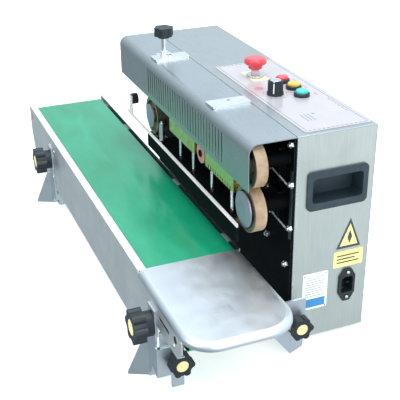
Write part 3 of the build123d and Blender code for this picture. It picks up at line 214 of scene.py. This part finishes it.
def machined(name, tone, rough=(0.2, 0.35), bump=0.15, stain=None, amount=0.3):
    """Turned or milled metal with tool marks and cloudy stains, which are darker metal if none is given."""
    f = Finish(name, metallic=1.0)
    marks = f.noise(1600, (1, 0.05, 1), detail=2)
    clouds = f.noise(70, detail=5, distortion=0.5)
    base = f.ramp(marks, (0.3, shade(tone, 0.86)), (0.7, shade(tone, 1.1)))
    base = f.mix(f.span(clouds, 0.5, 0.72, 0.0, amount, True), base, stain or shade(tone, 0.6))
    edge = f.maths("MULTIPLY", f.edges(0.0006), 0.7)
    f.colour(f.mix(edge, base, shade(tone, 1.4, 0.05)))
    f.roughness(f.maths("ADD", f.span(marks, 0.3, 0.7, *rough), f.span(clouds, 0.4, 0.7, 0.0, 0.12)))
    f.bump(marks, bump, 0.00005)
    return f.material


def paint(name, tone, rough=(0.35, 0.55), wear=0.3, peel=0.2, dust_tone=0.012, gloss=0.5):
    """Sprayed paint with orange peel, dust and edges worn to bare metal."""
    f = Finish(name, Specular_IOR_Level=gloss)
    skin = f.noise(420, detail=2)
    dust = f.noise(24, detail=6, roughness=0.7, distortion=0.8)
    chips = f.noise(260, detail=5, roughness=0.75)
    base = f.ramp(dust, (0.35, tone), (0.8, tuple(c * 1.5 + dust_tone for c in tone)))
    edge = f.maths("MULTIPLY", f.edges(0.0012), f.span(chips, 0.42, 0.6, 0.0, wear))
    bare = (0.35, 0.36, 0.38)
    f.colour(f.mix(edge, base, bare))
    f.roughness(f.maths("ADD", f.span(dust, 0.3, 0.7, *rough), f.span(chips, 0.3, 0.7, -0.04, 0.04)))
    f.bump(skin, peel, 0.00025)
    return f.material


def belt_rubber(name):
    """Smooth green belt: a fine calendered grain, long scuffs along the run and a soft sheen."""
    f = Finish(name, Coat_Weight=0.15, Coat_Roughness=0.3, Specular_IOR_Level=0.55)
    clouds = f.noise(14, (0.5, 1.5, 1), detail=5, distortion=0.4)
    scuffs = f.noise(420, (0.02, 1, 1), detail=3)
    fine = f.noise(2600, detail=2)
    base = f.ramp(
        clouds, (0.3, (0.004, 0.27, 0.125)), (0.5, (0.008, 0.33, 0.165)), (0.72, (0.014, 0.39, 0.21)),
    )
    base = f.mix(f.span(scuffs, 0.6, 0.78, 0.0, 0.12, True), base, (0.06, 0.47, 0.28))
    f.colour(base)
    sheen = f.span(clouds, 0.3, 0.7, 0.16, 0.24)
    f.roughness(f.maths("ADD", sheen, f.span(scuffs, 0.4, 0.7, -0.02, 0.03)))
    f.bump(fine, 0.12, 0.00008)
    f.bump(clouds, 0.1, 0.004)
    return f.material


def band_cloth(name):
    """Coated glass cloth: a fine square weave under a slick skin, browned by heat."""
    f = Finish(name, Sheen_Weight=0.15, Coat_Weight=0.2, Coat_Roughness=0.25)
    across = f.node("TexWave", Vector=f.place, Scale=900.0, Distortion=0.4)
    across.bands_direction = "X"
    up = f.node("TexWave", Vector=f.place, Scale=900.0, Distortion=0.4)
    up.bands_direction = "Y"
    weave = f.maths("MULTIPLY", across.outputs["Fac"], up.outputs["Fac"])
    clouds = f.noise(60, (0.4, 1, 1), detail=5)
    base = f.ramp(clouds, (0.3, (0.26, 0.14, 0.055)), (0.7, (0.47, 0.35, 0.23)))
    f.colour(f.mix(f.span(weave, 0.2, 0.9, 0.0, 0.35), base, (0.48, 0.36, 0.25)))
    f.roughness(f.span(clouds, 0.3, 0.7, 0.3, 0.45))
    f.bump(weave, 0.3, 0.0001)
    return f.material


def film(name, tone):
    """Printed film: flat colour with a faint print grain under a clear gloss."""
    f = Finish(name, Coat_Weight=0.4, Coat_Roughness=0.06)
    grain = f.noise(900, detail=2)
    clouds = f.noise(30, detail=4)
    base = f.ramp(clouds, (0.3, shade(tone, 0.95)), (0.7, shade(tone, 1.03)))
    f.colour(f.mix(f.span(grain, 0.45, 0.65, 0.0, 0.12), base, shade(tone, 0.85)))
    f.roughness(f.span(clouds, 0.3, 0.7, 0.18, 0.3))
    f.bump(grain, 0.05, 0.00004)
    return f.material


def mushroom(name):
    """Glossy red cap and neck on a pale moulded stem."""
    f = Finish(name, rough=0.26, Coat_Weight=0.4, Coat_Roughness=0.1)
    clouds = f.noise(55, detail=4)
    red = f.ramp(clouds, (0.32, (0.68, 0.04, 0.06)), (0.68, (0.8, 0.07, 0.09)))
    stem = f.ramp(clouds, (0.32, (0.6, 0.5, 0.5)), (0.68, (0.72, 0.62, 0.62)))
    up = f.node("SeparateXYZ", Vector=f.place).outputs["Z"]
    f.colour(f.mix(f.span(up, STEM_TOP - 0.2 * MM, STEM_TOP + 0.2 * MM), stem, red))
    f.bump(f.noise(1500, detail=2), 0.08, 0.00008)
    return f.material


PUSH_BUTTON = {"rough": (0.2, 0.3), "coat": 0.4, "wear": 0.15, "bump": 0.08}
MATERIALS = {
    "steel": steel("steel", (0.5, 0.535, 0.54)),
    # a brighter copy of the steel for the end panels: painted light on the lit end face
    "end_steel_painted_light": steel("end_steel_painted_light", (0.83, 0.85, 0.78), rough=(0.3, 0.44), smudge=0.09),
    # a near-white copy of the steel for the skirt: painted light on the brightly lit skirt
    "skirt_steel_painted_light": steel("skirt_steel_painted_light", (0.98, 1.0, 1.0), rough=(0.42, 0.56), grain=0.05, smudge=0.05),
    "hood_steel": steel("hood_steel", (0.48, 0.53, 0.55), smudge=0.08),
    "plate_steel": steel(
        "plate_steel", (0.78, 0.82, 0.86), rough=(0.34, 0.46), grain=0.035, smudge=0.03, bump=0.06,
    ),
    "black_paint": paint(
        "black_paint", (0.001, 0.002, 0.003), rough=(0.58, 0.74), peel=0.1, dust_tone=0.002, gloss=0.06,
    ),
    "bar_steel": machined("bar_steel", (0.15, 0.17, 0.2), rough=(0.4, 0.55)),
    "dark_steel": machined("dark_steel", (0.2, 0.21, 0.23), rough=(0.3, 0.45)),
    "zinc": machined("zinc", (0.9, 0.93, 0.95), rough=(0.14, 0.3), amount=0.15),
    "chrome": machined("chrome", (0.52, 0.53, 0.62), rough=(0.36, 0.5), bump=0.04, amount=0.1),
    "rail_white": paint("rail_white", (0.72, 0.64, 0.63), rough=(0.3, 0.45), wear=0.25),
    "black_plastic": plastic("black_plastic", (0.012, 0.018, 0.024)),
    "panel_film": film("panel_film", (0.54, 0.5, 0.51)),
    "red_plastic": plastic(
        "red_plastic", (0.72, 0.035, 0.045), rough=(0.2, 0.32), coat=0.5, wear=0.2, bump=0.08,
    ),
    "yellow_plastic": plastic("yellow_plastic", (0.95, 0.52, 0.04), **PUSH_BUTTON),
    "green_plastic": plastic("green_plastic", (0.02, 0.55, 0.5), **PUSH_BUTTON),
    "handle_plastic": plastic("handle_plastic", (0.022, 0.038, 0.05)),
    "mushroom": mushroom("mushroom"),
    "rubber": plastic("rubber", (0.018, 0.018, 0.019), rough=(0.6, 0.8), bump=0.4, wear=0.2),
    "wheel_tan": machined("wheel_tan", (0.42, 0.36, 0.28), rough=(0.3, 0.45), stain=(0.2, 0.12, 0.07)),
    "ptfe_band": band_cloth("ptfe_band"),
    "brass": machined("brass", (0.95, 0.74, 0.36), stain=(0.3, 0.22, 0.1), amount=0.5),
    "block_aluminium": machined("block_aluminium", (0.95, 0.8, 0.36), stain=(0.5, 0.5, 0.16)),
    "aluminium": machined("aluminium", (0.68, 0.7, 0.73)),
    "silicone": plastic("silicone", (0.42, 0.2, 0.15), rough=(0.5, 0.65), bump=0.3, wear=0.1),
    "motor_grey": paint("motor_grey", (0.1, 0.11, 0.13)),
    "circuit_green": plastic("circuit_green", (0.01, 0.12, 0.05), coat=0.5, wear=0.1),
    "belt_green": belt_rubber("belt_green"),
}
# nodes whose finish is not their slot's usual one; the end panels and the skirt take brighter copies of the
# cabinet's steel, which is painted light for how brightly those faces are lit
OWN_FINISH = {
    "end_panels": "end_steel_painted_light",
    "conveyor_skirt": "skirt_steel_painted_light",
    "cross_rails": "plate_steel",
    "pressure_screw": "zinc",
    "carry_handles": "handle_plastic",
    "estop_button": "mushroom",
}
for entry in frame["record"]["subparts"]:
    node = frame["nodes"][entry["node"]]
    for place in node.material_slots:
        place.material = MATERIALS[OWN_FINISH.get(entry["node"], entry["material_slot"])]


# ---------------------------------------------------------------- pieces built here
def piece(name, mesh, material, body, bevel=0.0, smooth=False):
    """Turns a bmesh into a named piece that rides on a CAD body."""
    if bevel:
        bmesh.ops.bevel(
            mesh, geom=list(mesh.edges), offset=bevel, segments=2, affect="EDGES", clamp_overlap=True,
        )
    bmesh.ops.recalc_face_normals(mesh, faces=list(mesh.faces))
    data = bpy.data.meshes.new(name)
    mesh.to_mesh(data)
    mesh.free()
    for face in data.polygons:
        face.use_smooth = smooth
    made = bpy.data.objects.new(name, data)
    bpy.context.scene.collection.objects.link(made)
    data.materials.append(material)
    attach(made, body)


def lathe(mesh, profile, at, axis, steps=40):
    """Turned shape about an axis; the profile is (radius, height) pairs in millimetres."""
    axis = axis.normalized()
    side = axis.orthogonal().normalized()
    other = axis.cross(side)
    rings = []
    for radius, height in profile:
        centre = at + axis * height * MM
        if radius == 0:
            rings.append([mesh.verts.new(centre)])
            continue
        ring = []
        for k in range(steps):
            angle = 2 * math.pi * k / steps
            out = side * math.cos(angle) + other * math.sin(angle)
            ring.append(mesh.verts.new(centre + out * radius * MM))
        rings.append(ring)
    for a, b in zip(rings, rings[1:]):
        for k in range(steps):
            m = (k + 1) % steps
            corners = [a[k % len(a)], a[m % len(a)], b[m % len(b)], b[k % len(b)]]
            unique = list(dict.fromkeys(corners))
            if len(unique) > 2:
                mesh.faces.new(unique)


def slab(mesh, outline, origin, across, along, thick):
    """Flat sheet on a plane; the outline is in millimetres along its two axes, counter-clockwise."""
    lift = across.cross(along) * thick * MM
    low = [mesh.verts.new(origin + (across * u + along * v) * MM) for u, v in outline]
    high = [mesh.verts.new(vert.co + lift) for vert in low]
    mesh.faces.new(list(reversed(low)))
    mesh.faces.new(high)
    for k in range(len(low)):
        m = (k + 1) % len(low)
        mesh.faces.new([low[k], low[m], high[m], high[k]])


def rounded(width, height, radius, at=(0, 0), steps=5):
    """Outline of a rectangle with round corners, counter-clockwise."""
    points = []
    for turn, (sx, sy) in enumerate(((1, 1), (-1, 1), (-1, -1), (1, -1))):
        for k in range(steps + 1):
            angle = math.pi / 2 * (turn + k / steps)
            points.append((
                at[0] + sx * (width / 2 - radius) + radius * math.cos(angle),
                at[1] + sy * (height / 2 - radius) + radius * math.sin(angle),
            ))
    return points


def circle(radius, at=(0, 0), steps=32):
    turns = [2 * math.pi * k / steps for k in range(steps)]
    return [(at[0] + radius * math.cos(turn), at[1] + radius * math.sin(turn)) for turn in turns]


def bar(u, v):
    """Rectangle between two values on each axis."""
    return [(u[0], v[0]), (u[1], v[0]), (u[1], v[1]), (u[0], v[1])]


INK = film("print_ink", (0.05, 0.055, 0.07))
PINK_INK = film("print_pink", (0.6, 0.3, 0.33))
GREY_INK = film("print_grey", (0.2, 0.24, 0.28))
BLUE_INK = film("print_blue", (0.03, 0.24, 0.52))
WHITE_FILM = film("label_white", (0.86, 0.9, 0.93))
YELLOW_FILM = film("label_yellow", (0.8, 0.72, 0.26))
PALE_PATCH = film("label_pale_yellow", (0.86, 0.86, 0.5))
CAP_YELLOW = plastic("cap_yellow", (0.78, 0.7, 0.32), wear=0.2)
POINTER = plastic("pointer_white", (0.85, 0.87, 0.88), wear=0.1)

# caps in the star knobs' faces: the knob's body, the way it faces and the cap's radius
SIDE_CAP = 10.7
END_CAP = 8.0
KNOBS = {
    "star_knob_side_near": ("side_knob_near", -Y, SIDE_CAP),
    "star_knob_side_far": ("side_knob_far", -Y, SIDE_CAP),
    "star_knob_end_outer": ("end_knob_outer", X, END_CAP),
    "star_knob_end_inner": ("end_knob_inner", X, END_CAP),
}
for node, (body, axis, radius) in KNOBS.items():
    face = mid(node)
    if axis == -Y:
        face.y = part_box(node)[0].y
    else:
        face.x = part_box(node)[1].x
    mesh = bmesh.new()
    lathe(mesh, [
        (0, -1.45), (radius, -1.45), (radius, -0.7), (radius - 0.5, -0.35), (radius * 0.7, -0.12),
        (radius * 0.35, -0.03), (0, 0),
    ], face, axis)
    piece(node + "_cap", mesh, CAP_YELLOW, body, smooth=True)

# the speed knob's spun top and its pointer
SPEED = mid("speed_knob")
SPEED_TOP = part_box("speed_knob")[1].z
mesh = bmesh.new()
lathe(mesh, [
    (0, 0), (7.7, 0), (7.7, 0.4), (7.2, 0.7), (6.0, 0.7), (5.6, 0.5), (3.0, 0.5), (2.6, 0.65), (0, 0.65),
], Vector((SPEED.x, SPEED.y, SPEED_TOP)), Z, steps=56)
piece("speed_knob_top", mesh, MATERIALS["aluminium"], "speed_dial", smooth=True)
POINTER_TURN = math.radians(-38)
POINTER_LEAN = math.radians(3)
POINTER_WIDTH = (-0.8, 0.8)
POINTER_THICK = 0.5
POINTER_FOOT = 4.2 * MM  # above the panel
POINTER_OUT = 10.75 * MM  # from the knob's axis, at the foot
outward = Vector((math.cos(POINTER_TURN), math.sin(POINTER_TURN), 0))
sideways = Z.cross(outward)
lean = (Z - outward * math.tan(POINTER_LEAN)).normalized()
foot = Vector((SPEED.x, SPEED.y, PANEL_TOP + POINTER_FOOT)) + outward * POINTER_OUT
crown = Vector((SPEED.x, SPEED.y, SPEED_TOP - 0.8 * MM))
mesh = bmesh.new()
slab(mesh, bar(POINTER_WIDTH, (0, 13.6)), foot, sideways, lean, POINTER_THICK)
slab(mesh, bar(POINTER_WIDTH, (8.2, 10.2)), crown, -sideways, outward, POINTER_THICK)
piece("speed_knob_pointer", mesh, POINTER, "speed_dial", bevel=0.00012)


# what is stuck on or printed on the cabinet's outfeed end
LABEL = (0.05, 0.25)  # lift and thickness
PRINT_ON_LABEL = (0.35, 0.06)


def end_print(name, ink, outlines, layer=PRINT_ON_LABEL):
    """Slabs on the end face; outlines are millimetres back from the front and up from the bench."""
    lift, thick = layer
    mesh = bmesh.new()
    for outline in outlines:
        slab(mesh, outline, Vector((NEAR + lift * MM, FRONT, 0)), Y, Z, thick)
    piece(name, mesh, ink, "cabinet")


def shrink(corners, factor):
    middle = [sum(c[k] for c in corners) / len(corners) for k in (0, 1)]
    return [tuple(middle[k] + (c[k] - middle[k]) * factor for k in (0, 1)) for c in corners]


TRIANGLE = [(63, 132), (99, 132), (82, 175)]
LOZENGE = [(82, 158), (78.5, 148), (82, 138), (85.5, 148)]
end_print("triangle_label_border", INK, [TRIANGLE], LABEL)
end_print("triangle_label_field", YELLOW_FILM, [shrink(TRIANGLE, 0.74)], (0.35, 0.1))
end_print("triangle_label_lozenge", INK, [LOZENGE], (0.5, 0.08))

end_print("yellow_strip", YELLOW_FILM, [rounded(44, 24, 2, (82, 116))], LABEL)
end_print("yellow_strip_rules", INK, [
    bar((65, end), (z - 0.9, z + 0.9)) for end, z in ((98, 121), (92, 116), (98, 111))
])

end_print("rating_plate", WHITE_FILM, [rounded(37, 55, 1.5, (34.5, 76.5))], LABEL)
RULE_PITCH = 3.6
rules = []
for row in range(9):
    z = 98 - RULE_PITCH * row
    end = 41 if row % 3 == 1 else 48
    rules.append(bar((20, end), (z - 0.45, z + 0.45)))
end_print("rating_plate_rules", GREY_INK, rules)
end_print("rating_plate_block", BLUE_INK, [bar((22, 50), (52, 65))])
mesh = bmesh.new()
for y, z in ((18.4, 101.2), (50.6, 101.2), (18.4, 51.8), (50.6, 51.8)):
    lathe(mesh, [(0, 0), (1.5, 0), (1.3, 0.5), (0.7, 0.8), (0, 0.85)],
          Vector((NEAR + 0.3 * MM, FRONT + y * MM, z * MM)), X, steps=20)
piece("rating_plate_rivets", mesh, MATERIALS["aluminium"], "cabinet", smooth=True)

# a thin bright strip along the end face's front edge, where the sheet bends round: a painted highlight for
# the light that the bend catches
mesh = bmesh.new()
slab(mesh, bar((0.2, 2.4), (10, 296)), Vector((NEAR + 0.02 * MM, FRONT, 0)), Y, Z, 0.3)
piece("end_face_painted_highlight", mesh, MATERIALS["zinc"], "cabinet", bevel=0.0001)

# domed crowns on the inlet's and the hood plates' screws
mesh = bmesh.new()
for z in (57, 95):
    lathe(mesh, [(2.5, 0), (2.4, 0.5), (1.7, 1.0), (0, 1.15)],
          Vector((NEAR + 3.55 * MM, FRONT + 82 * MM, z * MM)), X, steps=28)
piece("inlet_screw_heads", mesh, MATERIALS["zinc"], "cabinet", smooth=True)
mesh = bmesh.new()
for x in (-361, -140):
    lathe(mesh, [(2.2, 0), (2.0, 0.35), (1.2, 0.6), (0, 0.65)],
          Vector((NEAR + x * MM, FRONT - 29 * MM, TOP + 4.55 * MM)), Z, steps=28)
piece("hood_plate_screw_crowns", mesh, MATERIALS["dark_steel"], "cabinet", smooth=True)


# printing on the control panel
def panel_print(name, ink, outlines, thick=0.06):
    """Slabs on the panel; outlines are millimetres from the cabinet's outfeed end and from its front."""
    mesh = bmesh.new()
    for outline in outlines:
        slab(mesh, outline, Vector((NEAR, FRONT, PANEL_TOP + 0.02 * MM)), X, Y, thick)
    piece(name, mesh, ink, "cabinet")


DASH_PITCH_X = 6.2
DASH_PITCH_Y = 6.4
dashes = [
    bar((-283 + DASH_PITCH_X * k, -279 + DASH_PITCH_X * k), (y - 0.8, y + 0.8))
    for y in (18.0, 103.0) for k in range(44)
]
dashes += [
    bar((x - 0.8, x + 0.8), (20 + DASH_PITCH_Y * k, 24 + DASH_PITCH_Y * k))
    for x in (-284.5, -11.5) for k in range(13)
]
panel_print("panel_border_print", GREY_INK, dashes)
panel_print("panel_pink_print", PINK_INK, [
    circle(6.5, (-175, 32)), *(rounded(11, 2.4, 1.0, (x, 93)) for x in (-212, -188, -157, -126)),
])

# a dot, a ring of dots round the speed knob, a row of dashes and three rules
DIAL = (-145, 42)
DIAL_RADIUS = 16.5
marks = [circle(2.0, (-61, 53))]
for k in range(13):
    turn = math.radians(-135 + 270 * k / 12)
    at = (DIAL[0] + DIAL_RADIUS * math.sin(turn), DIAL[1] + DIAL_RADIUS * math.cos(turn))
    marks.append(circle(0.9 if k % 3 else 1.4, at, 12))
marks += [bar((-104 + 9 * k, -98 + 9 * k), (98.2, 99.4)) for k in range(6)]
marks += [rounded(24, 1.2, 0.5, (-52, 36 + 5 * k)) for k in range(3)]
panel_print("panel_dark_print", GREY_INK, marks)
panel_print("stop_button_patch", PALE_PATCH, [rounded(46, 25, 3, (-227, 50.5))], 0.08)


# tension springs behind the outfeed wheels, wound from wire
def coil(mesh, start, end, radius, wire, turns, sides=8, per_turn=16):
    """Close-wound spring between two points."""
    run = end - start
    axis = run.normalized()
    side = axis.orthogonal().normalized()
    other = axis.cross(side)
    rings = []
    for k in range(turns * per_turn + 1):
        angle = 2 * math.pi * k / per_turn
        out = side * math.cos(angle) + other * math.sin(angle)
        centre = start + run * (k / (turns * per_turn)) + out * radius
        rings.append([
            mesh.verts.new(centre + (out * math.cos(a) + axis * math.sin(a)) * wire)
            for a in (2 * math.pi * j / sides for j in range(sides))
        ])
    for a, b in zip(rings, rings[1:]):
        for j in range(sides):
            m = (j + 1) % sides
            mesh.faces.new([a[j], a[m], b[m], b[j]])
    mesh.faces.new(list(reversed(rings[0])))
    mesh.faces.new(rings[-1])


# each spring runs from a screw in the wheel's bracket down to a bolt at the plate's outfeed edge
PLATE_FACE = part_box("base_plate")[0].y
BRACKET_DEPTH = 9 * MM
BRACKET_FACE = PLATE_FACE - BRACKET_DEPTH
SPRING_DROP = 11
springs = bmesh.new()
screws = bmesh.new()
for z in (247, 187):
    lathe(screws, [(0, 0), (1.6, 0), (1.6, 2.8), (3, 2.8), (3, 3.5), (2.2, 4.1), (1.2, 4.3), (0, 4.35)],
          Vector((NEAR - 40 * MM, BRACKET_FACE, z * MM)), -Y, steps=24)
    start = Vector((NEAR - 37.2 * MM, BRACKET_FACE - 1.5 * MM, z * MM))
    end = Vector((NEAR - 7.6 * MM, PLATE_FACE - 5.2 * MM, (z - SPRING_DROP) * MM))
    coil(springs, start, end, 1.1 * MM, 0.35 * MM, 28)
piece("wheel_tension_springs", springs, MATERIALS["aluminium"], "cabinet", smooth=True)
piece("bracket_screws", screws, MATERIALS["zinc"], "cabinet")

# the strip under those bolts, clear of the lower axle's collar
mesh = bmesh.new()
slab(mesh, rounded(5.6, 94, 1.0, (-5.2, 207)), Vector((NEAR, PLATE_FACE, 0)), X, Z, 0.8)
piece("bolt_strip", mesh, MATERIALS["bar_steel"], "cabinet", bevel=0.0001)

# a plate behind the skirt's slot, and screws in the skirt
SKIRT_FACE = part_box("conveyor_skirt")[0].y
mesh = bmesh.new()
slab(mesh, rounded(46, 12, 1.0, (45, 112)), Vector((NEAR, SKIRT_FACE + 4.0 * MM, 0)), X, Z, 2.0)
piece("slot_plate", mesh, MATERIALS["black_paint"], "conveyor", bevel=0.0002)
mesh = bmesh.new()
for x, z in ((80, 106), (-534, 116), (-505, 114), (-528, 73)):
    lathe(mesh, [(3.0, 0), (2.9, 0.7), (2.0, 1.3), (0, 1.5)],
          Vector((NEAR + x * MM, SKIRT_FACE, z * MM)), -Y, steps=28)
piece("skirt_screws", mesh, MATERIALS["zinc"], "conveyor", smooth=True)

# ---------------------------------------------------------------- stage, light and camera
STAGE_SIZE = 60.0
stage_mesh = bmesh.new()
bmesh.ops.create_grid(stage_mesh, x_segments=2, y_segments=2, size=STAGE_SIZE / 2)
floor_data = bpy.data.meshes.new("studio_floor")
stage_mesh.to_mesh(floor_data)
stage_mesh.free()
floor = bpy.data.objects.new("studio_floor", floor_data)
floor.location.z = -0.0004
bpy.context.scene.collection.objects.link(floor)
paper = Finish("studio_paper", rough=0.8)
paper.colour(paper.ramp(paper.noise(3), (0.3, (0.93, 0.935, 0.94)), (0.7, (0.95, 0.955, 0.96))))
paper.bump(paper.noise(600), 0.05, 0.0003)
PAPER_GLOW = 0.58
paper.shader.inputs["Emission Color"].default_value = (1.0, 0.97, 0.98, 1.0)
paper.shader.inputs["Emission Strength"].default_value = PAPER_GLOW
# the bright metal mirrors the studio's soft light all round, not the paper it stands on
floor.visible_glossy = False
floor_data.materials.append(paper.material)

world = bpy.data.worlds.new("studio")
bpy.context.scene.world = world
world.use_nodes = True
sky = world.node_tree
place = sky.nodes.new("ShaderNodeTexCoord")
# soft light all round, brightest above and behind the machine and dim in front of and below it
toward = sky.nodes.new("ShaderNodeVectorMath")
toward.operation = "DOT_PRODUCT"
toward.inputs[1].default_value = (0.1, 0.57, 0.82)
reach = sky.nodes.new("ShaderNodeMapRange")
reach.inputs["From Min"].default_value = -0.55
reach.inputs["From Max"].default_value = 0.6
fade = sky.nodes.new("ShaderNodeValToRGB")
sky.links.new(place.outputs["Generated"], toward.inputs[0])
sky.links.new(toward.outputs["Value"], reach.inputs["Value"])
sky.links.new(reach.outputs[0], fade.inputs[0])
fade.color_ramp.elements[0].color = (0.32, 0.4, 0.43, 1)
fade.color_ramp.elements[1].color = (1.2, 1.36, 1.5, 1)
sky.links.new(fade.outputs[0], sky.nodes["Background"].inputs["Color"])
sky.nodes["Background"].inputs["Strength"].default_value = 0.85


def soft_light(name, place, aim, size, power, colour=(1, 1, 1)):
    data = bpy.data.lights.new(name, "AREA")
    data.shape = "RECTANGLE"
    data.size, data.size_y = size
    data.energy = power
    data.color = colour
    lamp = bpy.data.objects.new(name, data)
    lamp.location = place
    lamp.rotation_euler = (Vector(aim) - Vector(place)).to_track_quat("-Z", "Y").to_euler()
    bpy.context.scene.collection.objects.link(lamp)


soft_light("overhead", (0.1, 0.2, 2.4), (0, 0, 0), (2.4, 1.6), 32, (0.97, 0.99, 1.0))
soft_light("front_fill", (0.6, -2.2, 1.4), (0, 0, 0.1), (1.8, 1.2), 16)
soft_light("end_fill", (2.4, 0.3, 1.0), (0, 0, 0.15), (1.2, 1.2), 12)

CAMERA_AT = Vector((NEAR + 0.8264, FRONT - 0.45418, 0.68557))
CAMERA_AIM = Vector((NEAR - 0.2459, FRONT - 0.0286, 0.1097))
CAMERA_ROLL = math.radians(-0.73)
FOCAL = 76.6
ahead = (CAMERA_AIM - CAMERA_AT).normalized()
level = ahead.cross(Z).normalized()
upward = level.cross(ahead)
across = level * math.cos(CAMERA_ROLL) + upward * math.sin(CAMERA_ROLL)
tilted = upward * math.cos(CAMERA_ROLL) - level * math.sin(CAMERA_ROLL)
lens = bpy.data.cameras.new("camera")
lens.lens = FOCAL
lens.sensor_width = 36.0
lens.clip_start = 0.05
camera = bpy.data.objects.new("camera", lens)
turn = Matrix((across, tilted, -ahead)).transposed().to_4x4()
camera.matrix_world = Matrix.Translation(CAMERA_AT) @ turn
bpy.context.scene.collection.objects.link(camera)
bpy.context.scene.camera = camera
bpy.context.scene.view_settings.view_transform = "Standard"
